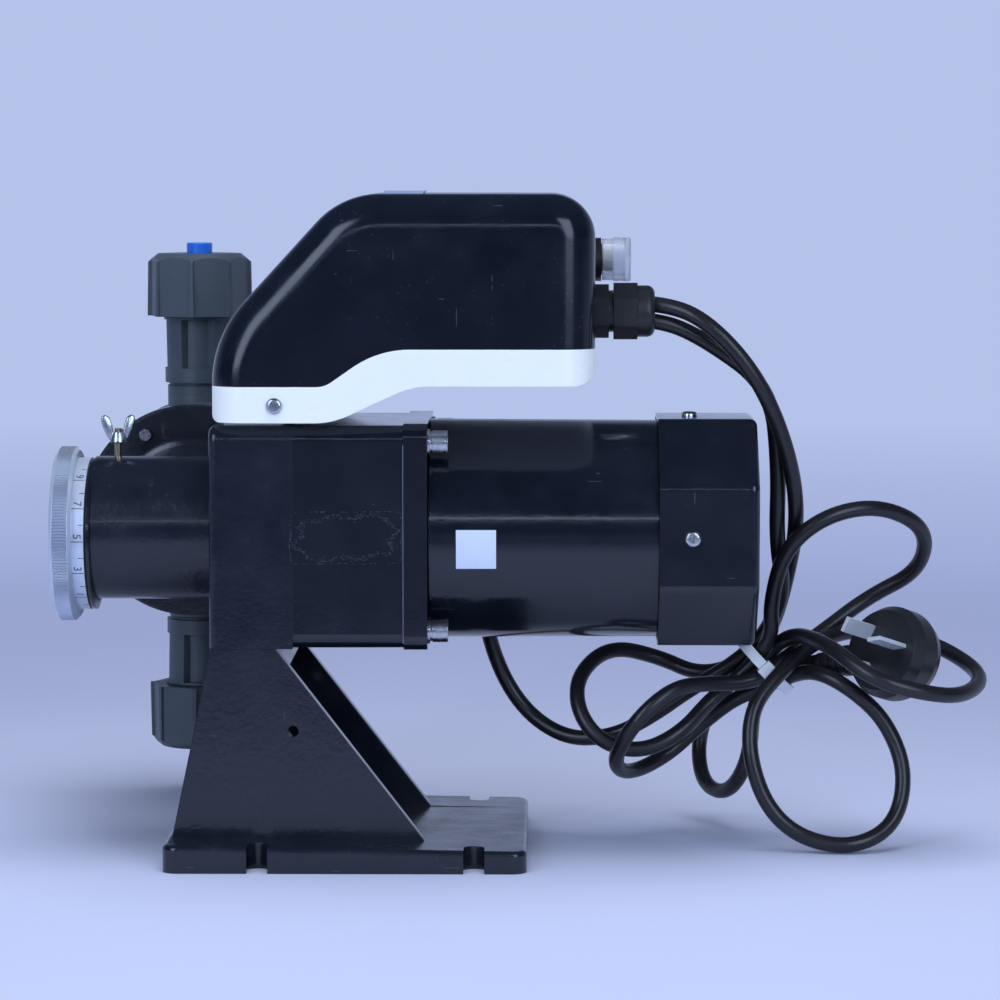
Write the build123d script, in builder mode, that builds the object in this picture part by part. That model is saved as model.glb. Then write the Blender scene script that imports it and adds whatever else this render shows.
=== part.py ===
from build123d import *
import math
import os

# Diaphragm metering pump: a gear motor drives a variable eccentric, which pushes a diaphragm.
# +X runs along the motor towards its fan, +Y towards the liquid end, +Z up.
# The origin is in the middle of the base plate's underside, and sizes are in millimetres.

# Clearances
running = 0.05  # radial play of a shaft in its bore
loose = 0.3  # gap between pieces that move past each other
thread_gap = 0.05  # radial play of a screw in its tapped hole

# Drive line: one axis from the dial to the fan
axis_height = 132.6
frame_size = 90.0
housing_left = -55.2
housing_length = 33.8
gear_case_length = 44.6
shield_length = 9.6
shield_oversize = 1.6
motor_length = 93.4
cover_length = 40.3
frame_corner = 6.0
housing_edge = 3.0
gear_case_left = housing_left + housing_length
shield_left = gear_case_left + gear_case_length
motor_left = shield_left + shield_length
cover_left = motor_left + motor_length
frame_top = axis_height + frame_size / 2
frame_bottom = axis_height - frame_size / 2

# Stand
base_length = 146.0
base_width = 134.0
base_thick_end = 11.2
base_thin_end = 8.9
base_corner = 6.0
base_edge = 2.0
notch_width = 8.4
notch_depth = 12.0
notch_places = (-34.8, 51.9)
gusset_spread = frame_size
gusset_thickness = 6.0
gusset_foot_left = -70.6
gusset_foot_right = 31.4
gusset_top_right = -28.4
pad_thickness = 7.0
gusset_hole = 4.5
gusset_hole_x = -21.4
gusset_hole_z = 54.2
stand_screw_spacing = 19.0
stand_screw_x = -39.0

# Crank chamber, neck and head flange
tube_diameter = 59.0
tube_wall = 5.0
tube_left = -105.1
head_axis_x = -74.0
neck_diameter = 57.0
flange_face = 76.0
flange_thickness = 10.0
flange_diameter = 91.6
bulkhead_start = 46.0
bulkhead_thickness = 18.0
diaphragm_recess = 60.0
head_bolt_circle = 76.0
head_bolt_count = 6
head_bolt = 5.0
head_bolt_angle = 0.0
bearing_outer = 42.0
bearing_width = 12.0

# Variable eccentric
shaft_diameter = 20.0
crank_diameter = 14.0
crank_width = 22.0
half_stroke = 2.5
ring_diameter = 24.0
ring_bearing_wall = 4.0
core_diameter = 9.0
key_thickness = 4.0
key_width = 3.2
dial_half_turn = 60.0
screw_lead = 7.5
core_shift = screw_lead * dial_half_turn / 360

# Dial and adjusting screw
dial_drop = 2.5
collar_diameter = 62.8
collar_length = 1.9
sleeve_length = 5.4
rim_diameter = 71.1
rim_length = 8.8
rim_chamfer = 1.2
dial_hub_diameter = 24.0
dial_web = 4.0
stem_diameter = 12.0
cup_diameter = 30.0
cup_wall = 2.5
lock_x = -96.2
lock_diameter = 3.0
lock_hub_height = 4.6
lock_wing_span = 15.0

# Push rod and diaphragm
tappet_diameter = 36.0
tappet_thickness = 4.0
rod_diameter = 12.0
rod_thread = 8.0
stroke = 2 * half_stroke
bush_outer = 18.0
seal_outer = 26.0
seal_width = 4.0
spring_wire = 2.0
spring_radius = 13.0
spring_turns = 4.0
diaphragm_thickness = 3.0
support_diameter = 48.0
support_thickness = 4.0

# Pump head and valves
head_diameter = 89.6
head_length = 61.0
chamber_diameter = 54.0
chamber_depth = 9.0
valve_y = 130.0
port_bore = 8.0
boss_diameter = 29.0
boss_reach = 48.0
valve_groove = 53.0
valve_ring_end = 58.5
valve_reach = 95.0
valve_diameter = 31.2
valve_thread = 28.0
window_angle = 52.0
window_depth = 3.2
ball_diameter = 11.0
ball_lift = 3.0
ball_play = 0.4
seat_diameter = 15.0
seat_length = 5.0
outlet_bore = 9.0
nut_diameter = 47.0
nut_start = 82.5
nut_chamfer_start = 106.6
nut_end = 110.3
nut_bore = 12.4
rib_count = 8
rib_width = 2.1
nut_flats = 42.0
rib_angle = -4.0
nut_draft = 0.88
plug_diameter = 11.5
plug_top = 115.0

# Gear train: two equal stages bring the output back to the motor axis
gear_module = 0.75
pinion_teeth = 13
wheel_teeth = 47
pressure_angle = math.radians(25)
gear_backlash = 0.12
wheel_width = 8.0
pinion_width = 11.0
layshaft_offset = gear_module * (pinion_teeth + wheel_teeth) / 2
layshaft_diameter = 8.0
case_wall = 9.0
case_bore = 83.0

# Motor
motor_diameter = 90.4
motor_small_end = 89.4
motor_bore = 84.0
stator_bore = 50.6
rotor_diameter = 50.0
core_length = 52.0
core_left = motor_left + 24.0
motor_shaft = 12.0
motor_bearing_outer = 32.0
motor_bearing_width = 10.0
fan_diameter = 74.0
fan_blades = 8
cover_flats = 92.9
cover_chamfer = 25.3
cover_bend = 5.0
cover_end_bend = 3.0
cover_wall = 1.6
cover_screw_inset = 13.4
long_screw = 6.0
long_screw_spread = 76.4
long_screw_head = 9.4
long_screw_grip = 17.0

# Control box
box_left = -54.0
box_right = 100.3
box_width = 100.0
box_low_floor = frame_top
box_high_floor = box_low_floor + 16.2
box_low_joint = box_low_floor + 16.0
box_high_joint = box_low_joint + 15.0
box_top = box_low_floor + 93.0
box_wall = 3.0
box_edge = 14.0
box_slope = 47.5
box_nose_radius = 50.0
box_brow_radius = 35.0
box_back_radius = 17.7
box_low_corner = 3.5
box_high_corner = 8.0
box_slope_point = (-26.4, 65.6)
box_seat_height = 1.5
floor_rise = (-5.0, 27.0)
floor_bends = (34.0, 33.0)
joint_rise = (-8.0, 13.5)
joint_bends = (11.0, 40.0)
side_screw_x = -28.1
side_screw_z = box_low_floor + 8.5

# Cable entry and signal socket
cord_diameter = 6.5
gland_height = box_high_joint + 14.0
gland_y = -12.0
gland_hex = 19.0
gland_bore = 17.0
gland_body_hex = 5.8
gland_thread = 8.4
gland_nut_start = 7.7
gland_nut_hex = 9.8
gland_dome = 7.0
gland_dome_diameter = 21.0
gland_dome_edge = 3.2
gland_slot_play = 0.35
insert_length = 9.0
socket_height = box_top - 27.6
socket_y = 14.0
cap_diameter = 18.0
cap_wall = 1.6

# Cords, plug and tie
cord_spread = 6.8
plug_body_diameter = 38.4
plug_front = 9.0
plug_back = 12.0
plug_reach = 43.0
sleeve_root = 13.0
sleeve_tip = 9.0
sleeve_groove = 1.0
sleeve_ribs = 5
pin_width = 6.4
pin_thickness = 1.6
pin_length = 18.0
earth_pin_offset = 9.5
live_pin_offset = -5.0
live_pin_spread = 15.8
tie_centre = (172.9, 25.6, 72.1)
tie_direction = (0.72, 0.0, 0.694)
tie_radius = 14.0
tie_thickness = 1.3
tie_width = 4.4
tie_buckle = 4.0

drive_axis = Axis((0, 0, axis_height), (1, 0, 0))
dial_axis = Axis((0, 0, axis_height - dial_drop), (1, 0, 0))
lay_axis = Axis((0, 0, axis_height + layshaft_offset), (1, 0, 0))
head_axis = Axis((head_axis_x, 0, axis_height), (0, 1, 0))
valve_axis = Axis((head_axis_x, valve_y, 0), (0, 0, 1))
side_plane = Plane.XZ
head_plane = Plane.YZ.offset(head_axis_x)


def outline(points, plane):
    """A flat face from the corners of a closed outline."""
    with BuildSketch(plane) as face:
        with BuildLine():
            Polyline(*points, close=True)
        make_face()
    return face.sketch


def along_drive(steps, centre=axis_height):
    """Half profile about an axis along X from (x, radius) steps, closed down to the axis."""
    points = [(steps[0][0], centre)]
    points += [(x, centre + radius) for x, radius in steps]
    points.append((steps[-1][0], centre))
    return outline(points, side_plane)


def ring_along_drive(corners, centre=axis_height, plane=side_plane):
    """Section of a ring about an axis along X from its (x, radius) corners."""
    return outline([(x, centre + radius) for x, radius in corners], plane)


def ring_along_head(corners):
    """Section of a ring about the head axis from its (y, radius) corners."""
    return outline([(y, axis_height + radius) for y, radius in corners], head_plane)


def tooth_outline(teeth, first_tooth):
    """Corners of a spur gear with involute flanks, its first tooth centred on an angle."""
    pitch_radius = gear_module * teeth / 2
    base_radius = pitch_radius * math.cos(pressure_angle)
    tip_radius = pitch_radius + 0.9 * gear_module
    root_radius = pitch_radius - 1.15 * gear_module
    pitch_half = math.pi / (2 * teeth) - gear_backlash / (4 * pitch_radius)
    flank_start = max(base_radius, root_radius)
    flank_steps = 3

    def half_angle(radius):
        roll = math.acos(min(1.0, base_radius / radius))
        involute = math.tan(roll) - roll
        return pitch_half + math.tan(pressure_angle) - pressure_angle - involute

    radii = [
        flank_start + (tip_radius - flank_start) * step / flank_steps
        for step in range(flank_steps + 1)
    ]
    rising = [(root_radius, -half_angle(flank_start))]
    rising += [(radius, -half_angle(radius)) for radius in radii]
    flank = rising if flank_start > root_radius else rising[1:]
    tooth = flank + [(radius, -angle) for radius, angle in reversed(flank)]
    corners = []
    for index in range(teeth):
        centre = first_tooth + 2 * math.pi * index / teeth
        corners += [
            (radius * math.cos(centre + angle), radius * math.sin(centre + angle))
            for radius, angle in tooth
        ]
    return corners


def gear_face(teeth, first_tooth, centre, x):
    """The face of a gear that lies square to the X axis."""
    corners = [(y, centre + z) for y, z in tooth_outline(teeth, first_tooth)]
    return outline(corners, Plane.YZ.offset(x))


def bearing_section(left, width, bore, outer, centre=axis_height, plane=side_plane):
    """Section of a shielded ball bearing: two races and a sunk shield on each side."""
    inner, rim = bore / 2, outer / 2
    race = (rim - inner) * 0.28
    dish = width * 0.08
    right = left + width
    corners = [
        (left, inner),
        (left, inner + race),
        (left + dish, inner + race),
        (left + dish, rim - race),
        (left, rim - race),
        (left, rim),
        (right, rim),
        (right, rim - race),
        (right - dish, rim - race),
        (right - dish, inner + race),
        (right, inner + race),
        (right, inner),
    ]
    return ring_along_drive(corners, centre, plane)


# ---------------------------------------------------------------- stand
gusset_outer = gusset_spread / 2
gusset_inner = gusset_outer - gusset_thickness
pad_left = housing_left + 0.6
base_mid = (base_thick_end + base_thin_end) / 2

with BuildPart() as stand:
    with BuildSketch(side_plane) as base_profile:
        with BuildLine():
            Polyline(
                (-base_length / 2, 0),
                (base_length / 2, 0),
                (base_length / 2, base_thin_end),
                (-base_length / 2, base_thick_end),
                close=True,
            )
        make_face()
    extrude(amount=base_width / 2, both=True)
    fillet(stand.edges().filter_by(Axis.Z), radius=base_corner)
    fillet(stand.faces().sort_by(Axis.Z)[-1].edges(), radius=base_edge)
    gusset_side = outline(
        [
            (gusset_foot_left, base_mid / 2),
            (gusset_foot_right, base_mid / 2),
            (gusset_foot_right, base_thin_end + 1),
            (gusset_top_right, frame_bottom),
            (pad_left, frame_bottom),
            (gusset_foot_left, base_thick_end),
        ],
        side_plane,
    )
    extrude(gusset_side, amount=gusset_outer, both=True)
    channel_left = gusset_foot_left + gusset_thickness
    with BuildSketch(side_plane):
        with BuildLine():
            Polyline(
                (channel_left, base_thick_end - 0.8),
                (base_length, base_thin_end - 0.8),
                (base_length, frame_bottom - pad_thickness),
                (pad_left + gusset_thickness - 1, frame_bottom - pad_thickness),
                close=True,
            )
        make_face()
    extrude(amount=gusset_inner, both=True, mode=Mode.SUBTRACT)
    with BuildSketch(side_plane):
        with Locations((gusset_hole_x, gusset_hole_z)):
            Circle(gusset_hole / 2)
    extrude(amount=gusset_outer, both=True, mode=Mode.SUBTRACT)
    notch_rows = [(x, side * base_width / 2) for x in notch_places for side in (-1, 1)]
    with BuildSketch(Plane.XY):
        with Locations(*notch_rows):
            SlotOverall(2 * notch_depth, notch_width, rotation=90)
    extrude(amount=base_thick_end + 4, mode=Mode.SUBTRACT)
    with BuildSketch(Plane.XY.offset(frame_bottom - pad_thickness)):
        with Locations((stand_screw_x, 0)):
            with GridLocations(1, stand_screw_spacing, 1, 4):
                Circle(long_screw / 2 + 0.3)
    extrude(amount=pad_thickness, mode=Mode.SUBTRACT)

with BuildPart() as stand_screws:
    with BuildSketch(Plane.XY.offset(frame_bottom - pad_thickness)):
        with Locations((stand_screw_x, 0)):
            with GridLocations(1, stand_screw_spacing, 1, 4):
                Circle(long_screw / 2)
    extrude(amount=pad_thickness + 10)
    with BuildSketch(Plane.XY.offset(frame_bottom - pad_thickness)):
        with Locations((stand_screw_x, 0)):
            with GridLocations(1, stand_screw_spacing, 1, 4):
                RegularPolygon(5.5, 6, rotation=30)
    extrude(amount=-4)

# ---------------------------------------------------------------- pump housing
tube_radius = tube_diameter / 2
chamber_radius = tube_radius - tube_wall
chamber_right = housing_left + 1
flange_back = flange_face + flange_thickness
neck_bore = tappet_diameter / 2 + loose
bulkhead_end = bulkhead_start + bulkhead_thickness
seal_start = bulkhead_end - seal_width
pocket_right = gear_case_left - bearing_width
pocket_left_end = chamber_right + bearing_width

with BuildPart() as drive_housing:
    with BuildSketch(Plane.YZ.offset(housing_left)):
        with Locations((0, axis_height)):
            RectangleRounded(frame_size, frame_size, frame_corner)
        with Locations((0, (axis_height + frame_bottom) / 2)):
            Rectangle(frame_size, frame_size / 2)
    extrude(amount=housing_length)
    end_rims = drive_housing.faces().sort_by(Axis.X)[0].edges()
    fillet(end_rims.sort_by(Axis.Z)[1:], radius=housing_edge)
    with BuildSketch(Plane.YZ.offset(tube_left)):
        with Locations((0, axis_height)):
            Circle(tube_radius)
    extrude(amount=housing_left - tube_left + 5)
    neck_section = ring_along_head(
        [
            (0, 0),
            (0, neck_diameter / 2),
            (flange_face - 4, neck_diameter / 2),
            (flange_face - 3, neck_diameter / 2 + 2.5),
            (flange_face, neck_diameter / 2 + 2.5),
            (flange_face, flange_diameter / 2 - 0.8),
            (flange_face + 0.8, flange_diameter / 2),
            (flange_back, flange_diameter / 2),
            (flange_back, 0),
        ]
    )
    revolve(neck_section, axis=head_axis)
    with BuildSketch(Plane.YZ.offset(tube_left)):
        with Locations((0, axis_height)):
            Circle(chamber_radius)
    extrude(amount=chamber_right - tube_left, mode=Mode.SUBTRACT)
    bore_section = ring_along_head(
        [
            (0, 0),
            (0, neck_bore),
            (bulkhead_start, neck_bore),
            (bulkhead_start, bush_outer / 2),
            (seal_start, bush_outer / 2),
            (seal_start, seal_outer / 2),
            (bulkhead_end, seal_outer / 2),
            (bulkhead_end, diaphragm_recess / 2 - 6),
            (flange_back - 8, diaphragm_recess / 2),
            (flange_back, diaphragm_recess / 2),
            (flange_back, 0),
        ]
    )
    revolve(bore_section, axis=head_axis, mode=Mode.SUBTRACT)
    shaft_bore = along_drive(
        [
            (chamber_right - 1, bearing_outer / 2),
            (pocket_left_end, bearing_outer / 2),
            (pocket_left_end, shaft_diameter / 2 + 4),
            (pocket_right, shaft_diameter / 2 + 4),
            (pocket_right, bearing_outer / 2),
            (gear_case_left, bearing_outer / 2),
        ]
    )
    revolve(shaft_bore, axis=drive_axis, mode=Mode.SUBTRACT)
    with BuildSketch(Plane.XZ.offset(-flange_face)):
        with Locations((head_axis_x, axis_height)):
            with PolarLocations(head_bolt_circle / 2, head_bolt_count, head_bolt_angle):
                Circle(head_bolt / 2 + 0.25)
    extrude(amount=-flange_thickness, mode=Mode.SUBTRACT)
    with BuildSketch(Plane.YZ.offset(gear_case_left)):
        with Locations((0, axis_height)):
            with GridLocations(long_screw_spread, long_screw_spread, 2, 2):
                Circle(long_screw / 2 + thread_gap)
    extrude(amount=-long_screw_grip - 1, mode=Mode.SUBTRACT)
    with BuildSketch(Plane.XY.offset(frame_bottom)):
        with Locations((stand_screw_x, 0)):
            with GridLocations(1, stand_screw_spacing, 1, 4):
                Circle(long_screw / 2 + thread_gap)
    extrude(amount=11, mode=Mode.SUBTRACT)
    with BuildSketch(Plane.XY.offset(axis_height)):
        with Locations((lock_x, 0)):
            Circle(lock_diameter / 2 + running)
    extrude(amount=tube_radius + 1, mode=Mode.SUBTRACT)

# ---------------------------------------------------------------- dial and its collar
dial_height = axis_height - dial_drop
collar_left = tube_left - collar_length
sleeve_right = collar_left - loose
rim_right = sleeve_right - sleeve_length + 0.4
rim_left = rim_right - rim_length
boss_left = rim_left + dial_web + 1.6
stem_left = rim_left + 0.8
cup_left = tube_left + 2.0 + core_shift + loose
cup_right = cup_left + 8.0

with BuildPart() as end_collar:
    collar_section = along_drive(
        [
            (boss_left, dial_hub_diameter / 2 - 0.6),
            (boss_left + 0.6, dial_hub_diameter / 2),
            (collar_left, dial_hub_diameter / 2),
            (collar_left, collar_diameter / 2 - 0.6),
            (collar_left + 0.6, collar_diameter / 2),
            (tube_left, collar_diameter / 2),
        ],
        dial_height,
    )
    revolve(collar_section, axis=dial_axis)
    with BuildSketch(Plane.YZ.offset(tube_left)):
        with Locations((0, axis_height)):
            Circle(chamber_radius - thread_gap)
    extrude(amount=2.0)
    with BuildSketch(Plane.YZ.offset(boss_left)):
        with Locations((0, dial_height)):
            Circle(stem_diameter / 2 + running)
    extrude(amount=cup_left - boss_left, mode=Mode.SUBTRACT)
    clip_groove = ring_along_drive(
        [
            (boss_left + 1.0, dial_hub_diameter / 2 - 1.0),
            (boss_left + 1.0, dial_hub_diameter),
            (boss_left + 2.2, dial_hub_diameter),
            (boss_left + 2.2, dial_hub_diameter / 2 - 1.0),
        ],
        dial_height,
    )
    revolve(clip_groove, axis=dial_axis, mode=Mode.SUBTRACT)

with BuildPart() as dial_retaining_ring:
    clip_section = ring_along_drive(
        [
            (boss_left + 1.05, dial_hub_diameter / 2 - 0.95),
            (boss_left + 1.05, dial_hub_diameter / 2 + 2.0),
            (boss_left + 2.15, dial_hub_diameter / 2 + 2.0),
            (boss_left + 2.15, dial_hub_diameter / 2 - 0.95),
        ],
        dial_height,
    )
    revolve(clip_section, axis=dial_axis)

shoulder_left = boss_left + 2.15 + loose
with BuildPart() as scale_dial:
    dial_section = ring_along_drive(
        [
            (sleeve_right, dial_hub_diameter / 2 + running),
            (sleeve_right, collar_diameter / 2),
            (rim_right, collar_diameter / 2),
            (rim_right, rim_diameter / 2 - rim_chamfer),
            (rim_right - rim_chamfer, rim_diameter / 2),
            (rim_left + rim_chamfer, rim_diameter / 2),
            (rim_left, rim_diameter / 2 - rim_chamfer),
            (rim_left, rim_diameter / 2 - 9),
            (rim_left + 1.2, rim_diameter / 2 - 10.5),
            (rim_left + 1.2, dial_hub_diameter / 2 + 6),
            (rim_left, dial_hub_diameter / 2 + 5),
            (rim_left, stem_diameter / 2 + running),
            (rim_left + dial_web, stem_diameter / 2 + running),
            (rim_left + dial_web, dial_hub_diameter / 2 + 2.6),
            (shoulder_left, dial_hub_diameter / 2 + 2.6),
            (shoulder_left, dial_hub_diameter / 2 + running),
        ],
        dial_height,
    )
    revolve(dial_section, axis=dial_axis)

with BuildPart() as adjusting_screw:
    with BuildSketch(Plane.YZ.offset(stem_left)):
        with Locations((0, dial_height)):
            Circle(stem_diameter / 2)
    extrude(amount=cup_left - stem_left + 1)
    chamfer(adjusting_screw.faces().sort_by(Axis.X)[0].edges(), length=0.8)
    with BuildSketch(Plane.YZ.offset(cup_left)):
        with Locations((0, axis_height)):
            Circle(cup_diameter / 2)
    extrude(amount=cup_right - cup_left)
    cup_hollow = along_drive(
        [
            (cup_left + cup_wall, cup_diameter / 2 - 9),
            (cup_right - cup_wall, cup_diameter / 2 - 9),
            (cup_right - cup_wall, core_diameter / 2 + 1.2),
            (cup_right, core_diameter / 2 + 1.2),
        ]
    )
    revolve(cup_hollow, axis=drive_axis, mode=Mode.SUBTRACT)

with BuildPart() as lock_stud:
    stud_foot = axis_height + chamber_radius + 0.5
    hub_foot = axis_height + tube_radius + 5.6
    with BuildSketch(Plane.XY.offset(stud_foot)):
        with Locations((lock_x, 0)):
            Circle(lock_diameter / 2)
    extrude(amount=hub_foot + lock_hub_height + 1.4 - stud_foot)

with BuildPart() as lock_wing_nut:
    with BuildSketch(Plane.XY.offset(hub_foot)):
        with Locations((lock_x, 0)):
            Circle(3.4)
    extrude(amount=lock_hub_height, taper=9)
    with BuildSketch(side_plane.offset(-0.7)) as wing_pair:
        with BuildLine():
            Polyline(
                (lock_x, hub_foot + 0.4),
                (lock_x + 2.6, hub_foot + 0.4),
                (lock_x + 6.2, hub_foot + 5.0),
                (lock_x + lock_wing_span / 2, hub_foot + 10.4),
                (lock_x + 5.2, hub_foot + 11.6),
                (lock_x + 3.2, hub_foot + 8.6),
                (lock_x + 2.0, hub_foot + 4.2),
                (lock_x, hub_foot + 3.6),
                close=True,
            )
        make_face()
        mirror(about=Plane.YZ.offset(lock_x))
    extrude(amount=1.4)
    with BuildSketch(Plane.XY.offset(hub_foot)):
        with Locations((lock_x, 0)):
            Circle(lock_diameter / 2)
    extrude(amount=lock_hub_height + 8, mode=Mode.SUBTRACT)

# ---------------------------------------------------------------- drive shaft and eccentric
crank_left = head_axis_x - crank_width / 2
crank_right = head_axis_x + crank_width / 2
shaft_left = crank_left - 3.0
wheel_left = gear_case_left + case_wall + 2.0
shaft_right = wheel_left + wheel_width + 1.0
rest_throw = half_stroke / 2
throw_lead = half_stroke / (2 * core_shift)
key_tilt = math.degrees(math.atan(throw_lead))
key_length = ring_diameter + 1.2

with BuildPart() as drive_shaft:
    shaft_section = along_drive(
        [
            (shaft_left, crank_diameter / 2 - 0.6),
            (shaft_left + 0.6, crank_diameter / 2),
            (crank_right + loose, crank_diameter / 2),
            (crank_right + loose, shaft_diameter / 2),
            (shaft_right - 0.6, shaft_diameter / 2),
            (shaft_right, shaft_diameter / 2 - 0.6),
        ]
    )
    revolve(shaft_section, axis=drive_axis)
    with BuildSketch(Plane.YZ.offset(shaft_left)):
        with Locations((0, axis_height)):
            Circle(core_diameter / 2 + running)
    extrude(amount=crank_right + 6 - shaft_left, mode=Mode.SUBTRACT)
    with BuildSketch(Plane.XZ):
        with Locations((head_axis_x, axis_height)):
            Rectangle(crank_width, key_thickness + 2 * running)
    extrude(amount=ring_diameter, both=True, mode=Mode.SUBTRACT)

# The key crosses the eccentric's bore on a slant and runs in the core's slanted slot.
key_lean = Plane(
    origin=(head_axis_x, 0, axis_height),
    x_dir=(math.cos(math.radians(key_tilt)), math.sin(math.radians(key_tilt)), 0),
    z_dir=(0, 0, 1),
)
with BuildPart() as eccentric:
    with BuildSketch(Plane.YZ.offset(crank_left)):
        with Locations((-rest_throw, axis_height)):
            Circle(ring_diameter / 2)
        with Locations((0, axis_height)):
            SlotOverall(
                crank_diameter + 2 * running + half_stroke + loose,
                crank_diameter + 2 * running,
                mode=Mode.SUBTRACT,
            )
    extrude(amount=crank_width)
    with BuildSketch(key_lean.offset(-key_thickness / 2)):
        Rectangle(key_length, key_width)
    extrude(amount=key_thickness)

with BuildPart() as wedge_core:
    head_left = cup_left + cup_wall + loose / 2
    head_right = cup_right - cup_wall - loose / 2
    core_section = along_drive(
        [
            (head_left, cup_diameter / 2 - 10),
            (head_right, cup_diameter / 2 - 10),
            (head_right, core_diameter / 2),
            (crank_right + 6 - core_shift - loose, core_diameter / 2),
        ]
    )
    revolve(core_section, axis=drive_axis)
    with BuildSketch(key_lean):
        Rectangle(key_length, key_width + 2 * running)
    extrude(amount=key_thickness / 2 + running, both=True, mode=Mode.SUBTRACT)

throw_plane = Plane.XZ.offset(rest_throw)
throw_axis = Axis((0, -rest_throw, axis_height), (1, 0, 0))
with BuildPart() as eccentric_bearing:
    bearing_face = bearing_section(
        crank_left + 1,
        crank_width - 2,
        ring_diameter,
        ring_diameter + 2 * ring_bearing_wall,
        plane=throw_plane,
    )
    revolve(bearing_face, axis=throw_axis)

# ---------------------------------------------------------------- push rod and diaphragm
tappet_face = ring_diameter / 2 + ring_bearing_wall + half_stroke + loose
tappet_back = tappet_face + tappet_thickness
diaphragm_back = flange_back
head_face = flange_back + diaphragm_thickness
support_face = diaphragm_back - stroke / 2 - 1.5
support_back = support_face - support_thickness
stud_end = diaphragm_back + diaphragm_thickness - stroke

with BuildPart() as push_rod:
    rod_section = ring_along_head(
        [
            (tappet_face, 0),
            (tappet_face, tappet_diameter / 2 - 0.8),
            (tappet_face + 0.8, tappet_diameter / 2),
            (tappet_back, tappet_diameter / 2),
            (tappet_back, spring_radius - spring_wire),
            (tappet_back + 3, spring_radius - spring_wire - 1),
            (tappet_back + 3, rod_diameter / 2),
            (support_back, rod_diameter / 2),
            (support_back, rod_thread / 2),
            (stud_end - 0.6, rod_thread / 2),
            (stud_end, rod_thread / 2 - 0.6),
            (stud_end, 0),
        ]
    )
    revolve(rod_section, axis=head_axis)

with BuildPart() as support_disc:
    support_section = ring_along_head(
        [
            (support_back, rod_thread / 2 + thread_gap),
            (support_back, support_diameter / 2 - 4),
            (support_face - 1.5, support_diameter / 2),
            (support_face, support_diameter / 2 - 1.5),
            (support_face, rod_thread / 2 + thread_gap),
        ]
    )
    revolve(support_section, axis=head_axis)

with BuildPart() as rod_guide:
    guide_section = ring_along_head(
        [
            (bulkhead_start, rod_diameter / 2 + running),
            (bulkhead_start, bush_outer / 2 - thread_gap),
            (seal_start, bush_outer / 2 - thread_gap),
            (seal_start, rod_diameter / 2 + running),
        ]
    )
    revolve(guide_section, axis=head_axis)

with BuildPart() as rod_seal:
    seal_section = ring_along_head(
        [
            (seal_start, rod_diameter / 2 + running),
            (seal_start, seal_outer / 2 - thread_gap),
            (bulkhead_end, seal_outer / 2 - thread_gap),
            (bulkhead_end, rod_diameter / 2 + 3),
            (seal_start + 1.5, rod_diameter / 2 + 1.5),
            (bulkhead_end, rod_diameter / 2 + running),
        ]
    )
    revolve(seal_section, axis=head_axis)

spring_start = tappet_back + spring_wire / 2 + 0.05
spring_end = bulkhead_start - spring_wire / 2 - 0.05
spring_length = spring_end - spring_start
with BuildPart() as return_spring:
    with BuildLine() as coil:
        Helix(
            spring_length / spring_turns,
            spring_length,
            spring_radius,
            center=(head_axis_x, spring_start, axis_height),
            direction=(0, 1, 0),
        )
    with BuildSketch(Plane(origin=coil.line @ 0, z_dir=coil.line % 0)):
        Circle(spring_wire / 2)
    sweep(path=coil.line, is_frenet=True)

with BuildPart() as diaphragm:
    fold = diaphragm_recess / 2 - 1
    hub = support_diameter / 2 - 6
    near = diaphragm_back
    far = near + diaphragm_thickness
    diaphragm_section = ring_along_head(
        [
            (support_face, rod_thread / 2 + thread_gap),
            (support_face, hub),
            (near - 1.2, hub + 4),
            (near - 1.2, fold - 4),
            (near, fold),
            (near, head_diameter / 2 - 1.5),
            (far, head_diameter / 2 - 1.5),
            (far, fold - 1),
            (far - 1.2, fold - 5),
            (far - 1.2, hub + 3),
            (far - 1.6, hub - 1),
            (far - 1.6, 0),
            (far - 3.2, 0),
            (far - 3.2, rod_thread / 2 + thread_gap),
        ]
    )
    revolve(diaphragm_section, axis=head_axis)
    with BuildSketch(Plane.XZ.offset(-near)):
        with Locations((head_axis_x, axis_height)):
            with PolarLocations(head_bolt_circle / 2, head_bolt_count, head_bolt_angle):
                Circle(head_bolt / 2 + 0.25)
    extrude(amount=-diaphragm_thickness, mode=Mode.SUBTRACT)

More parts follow.
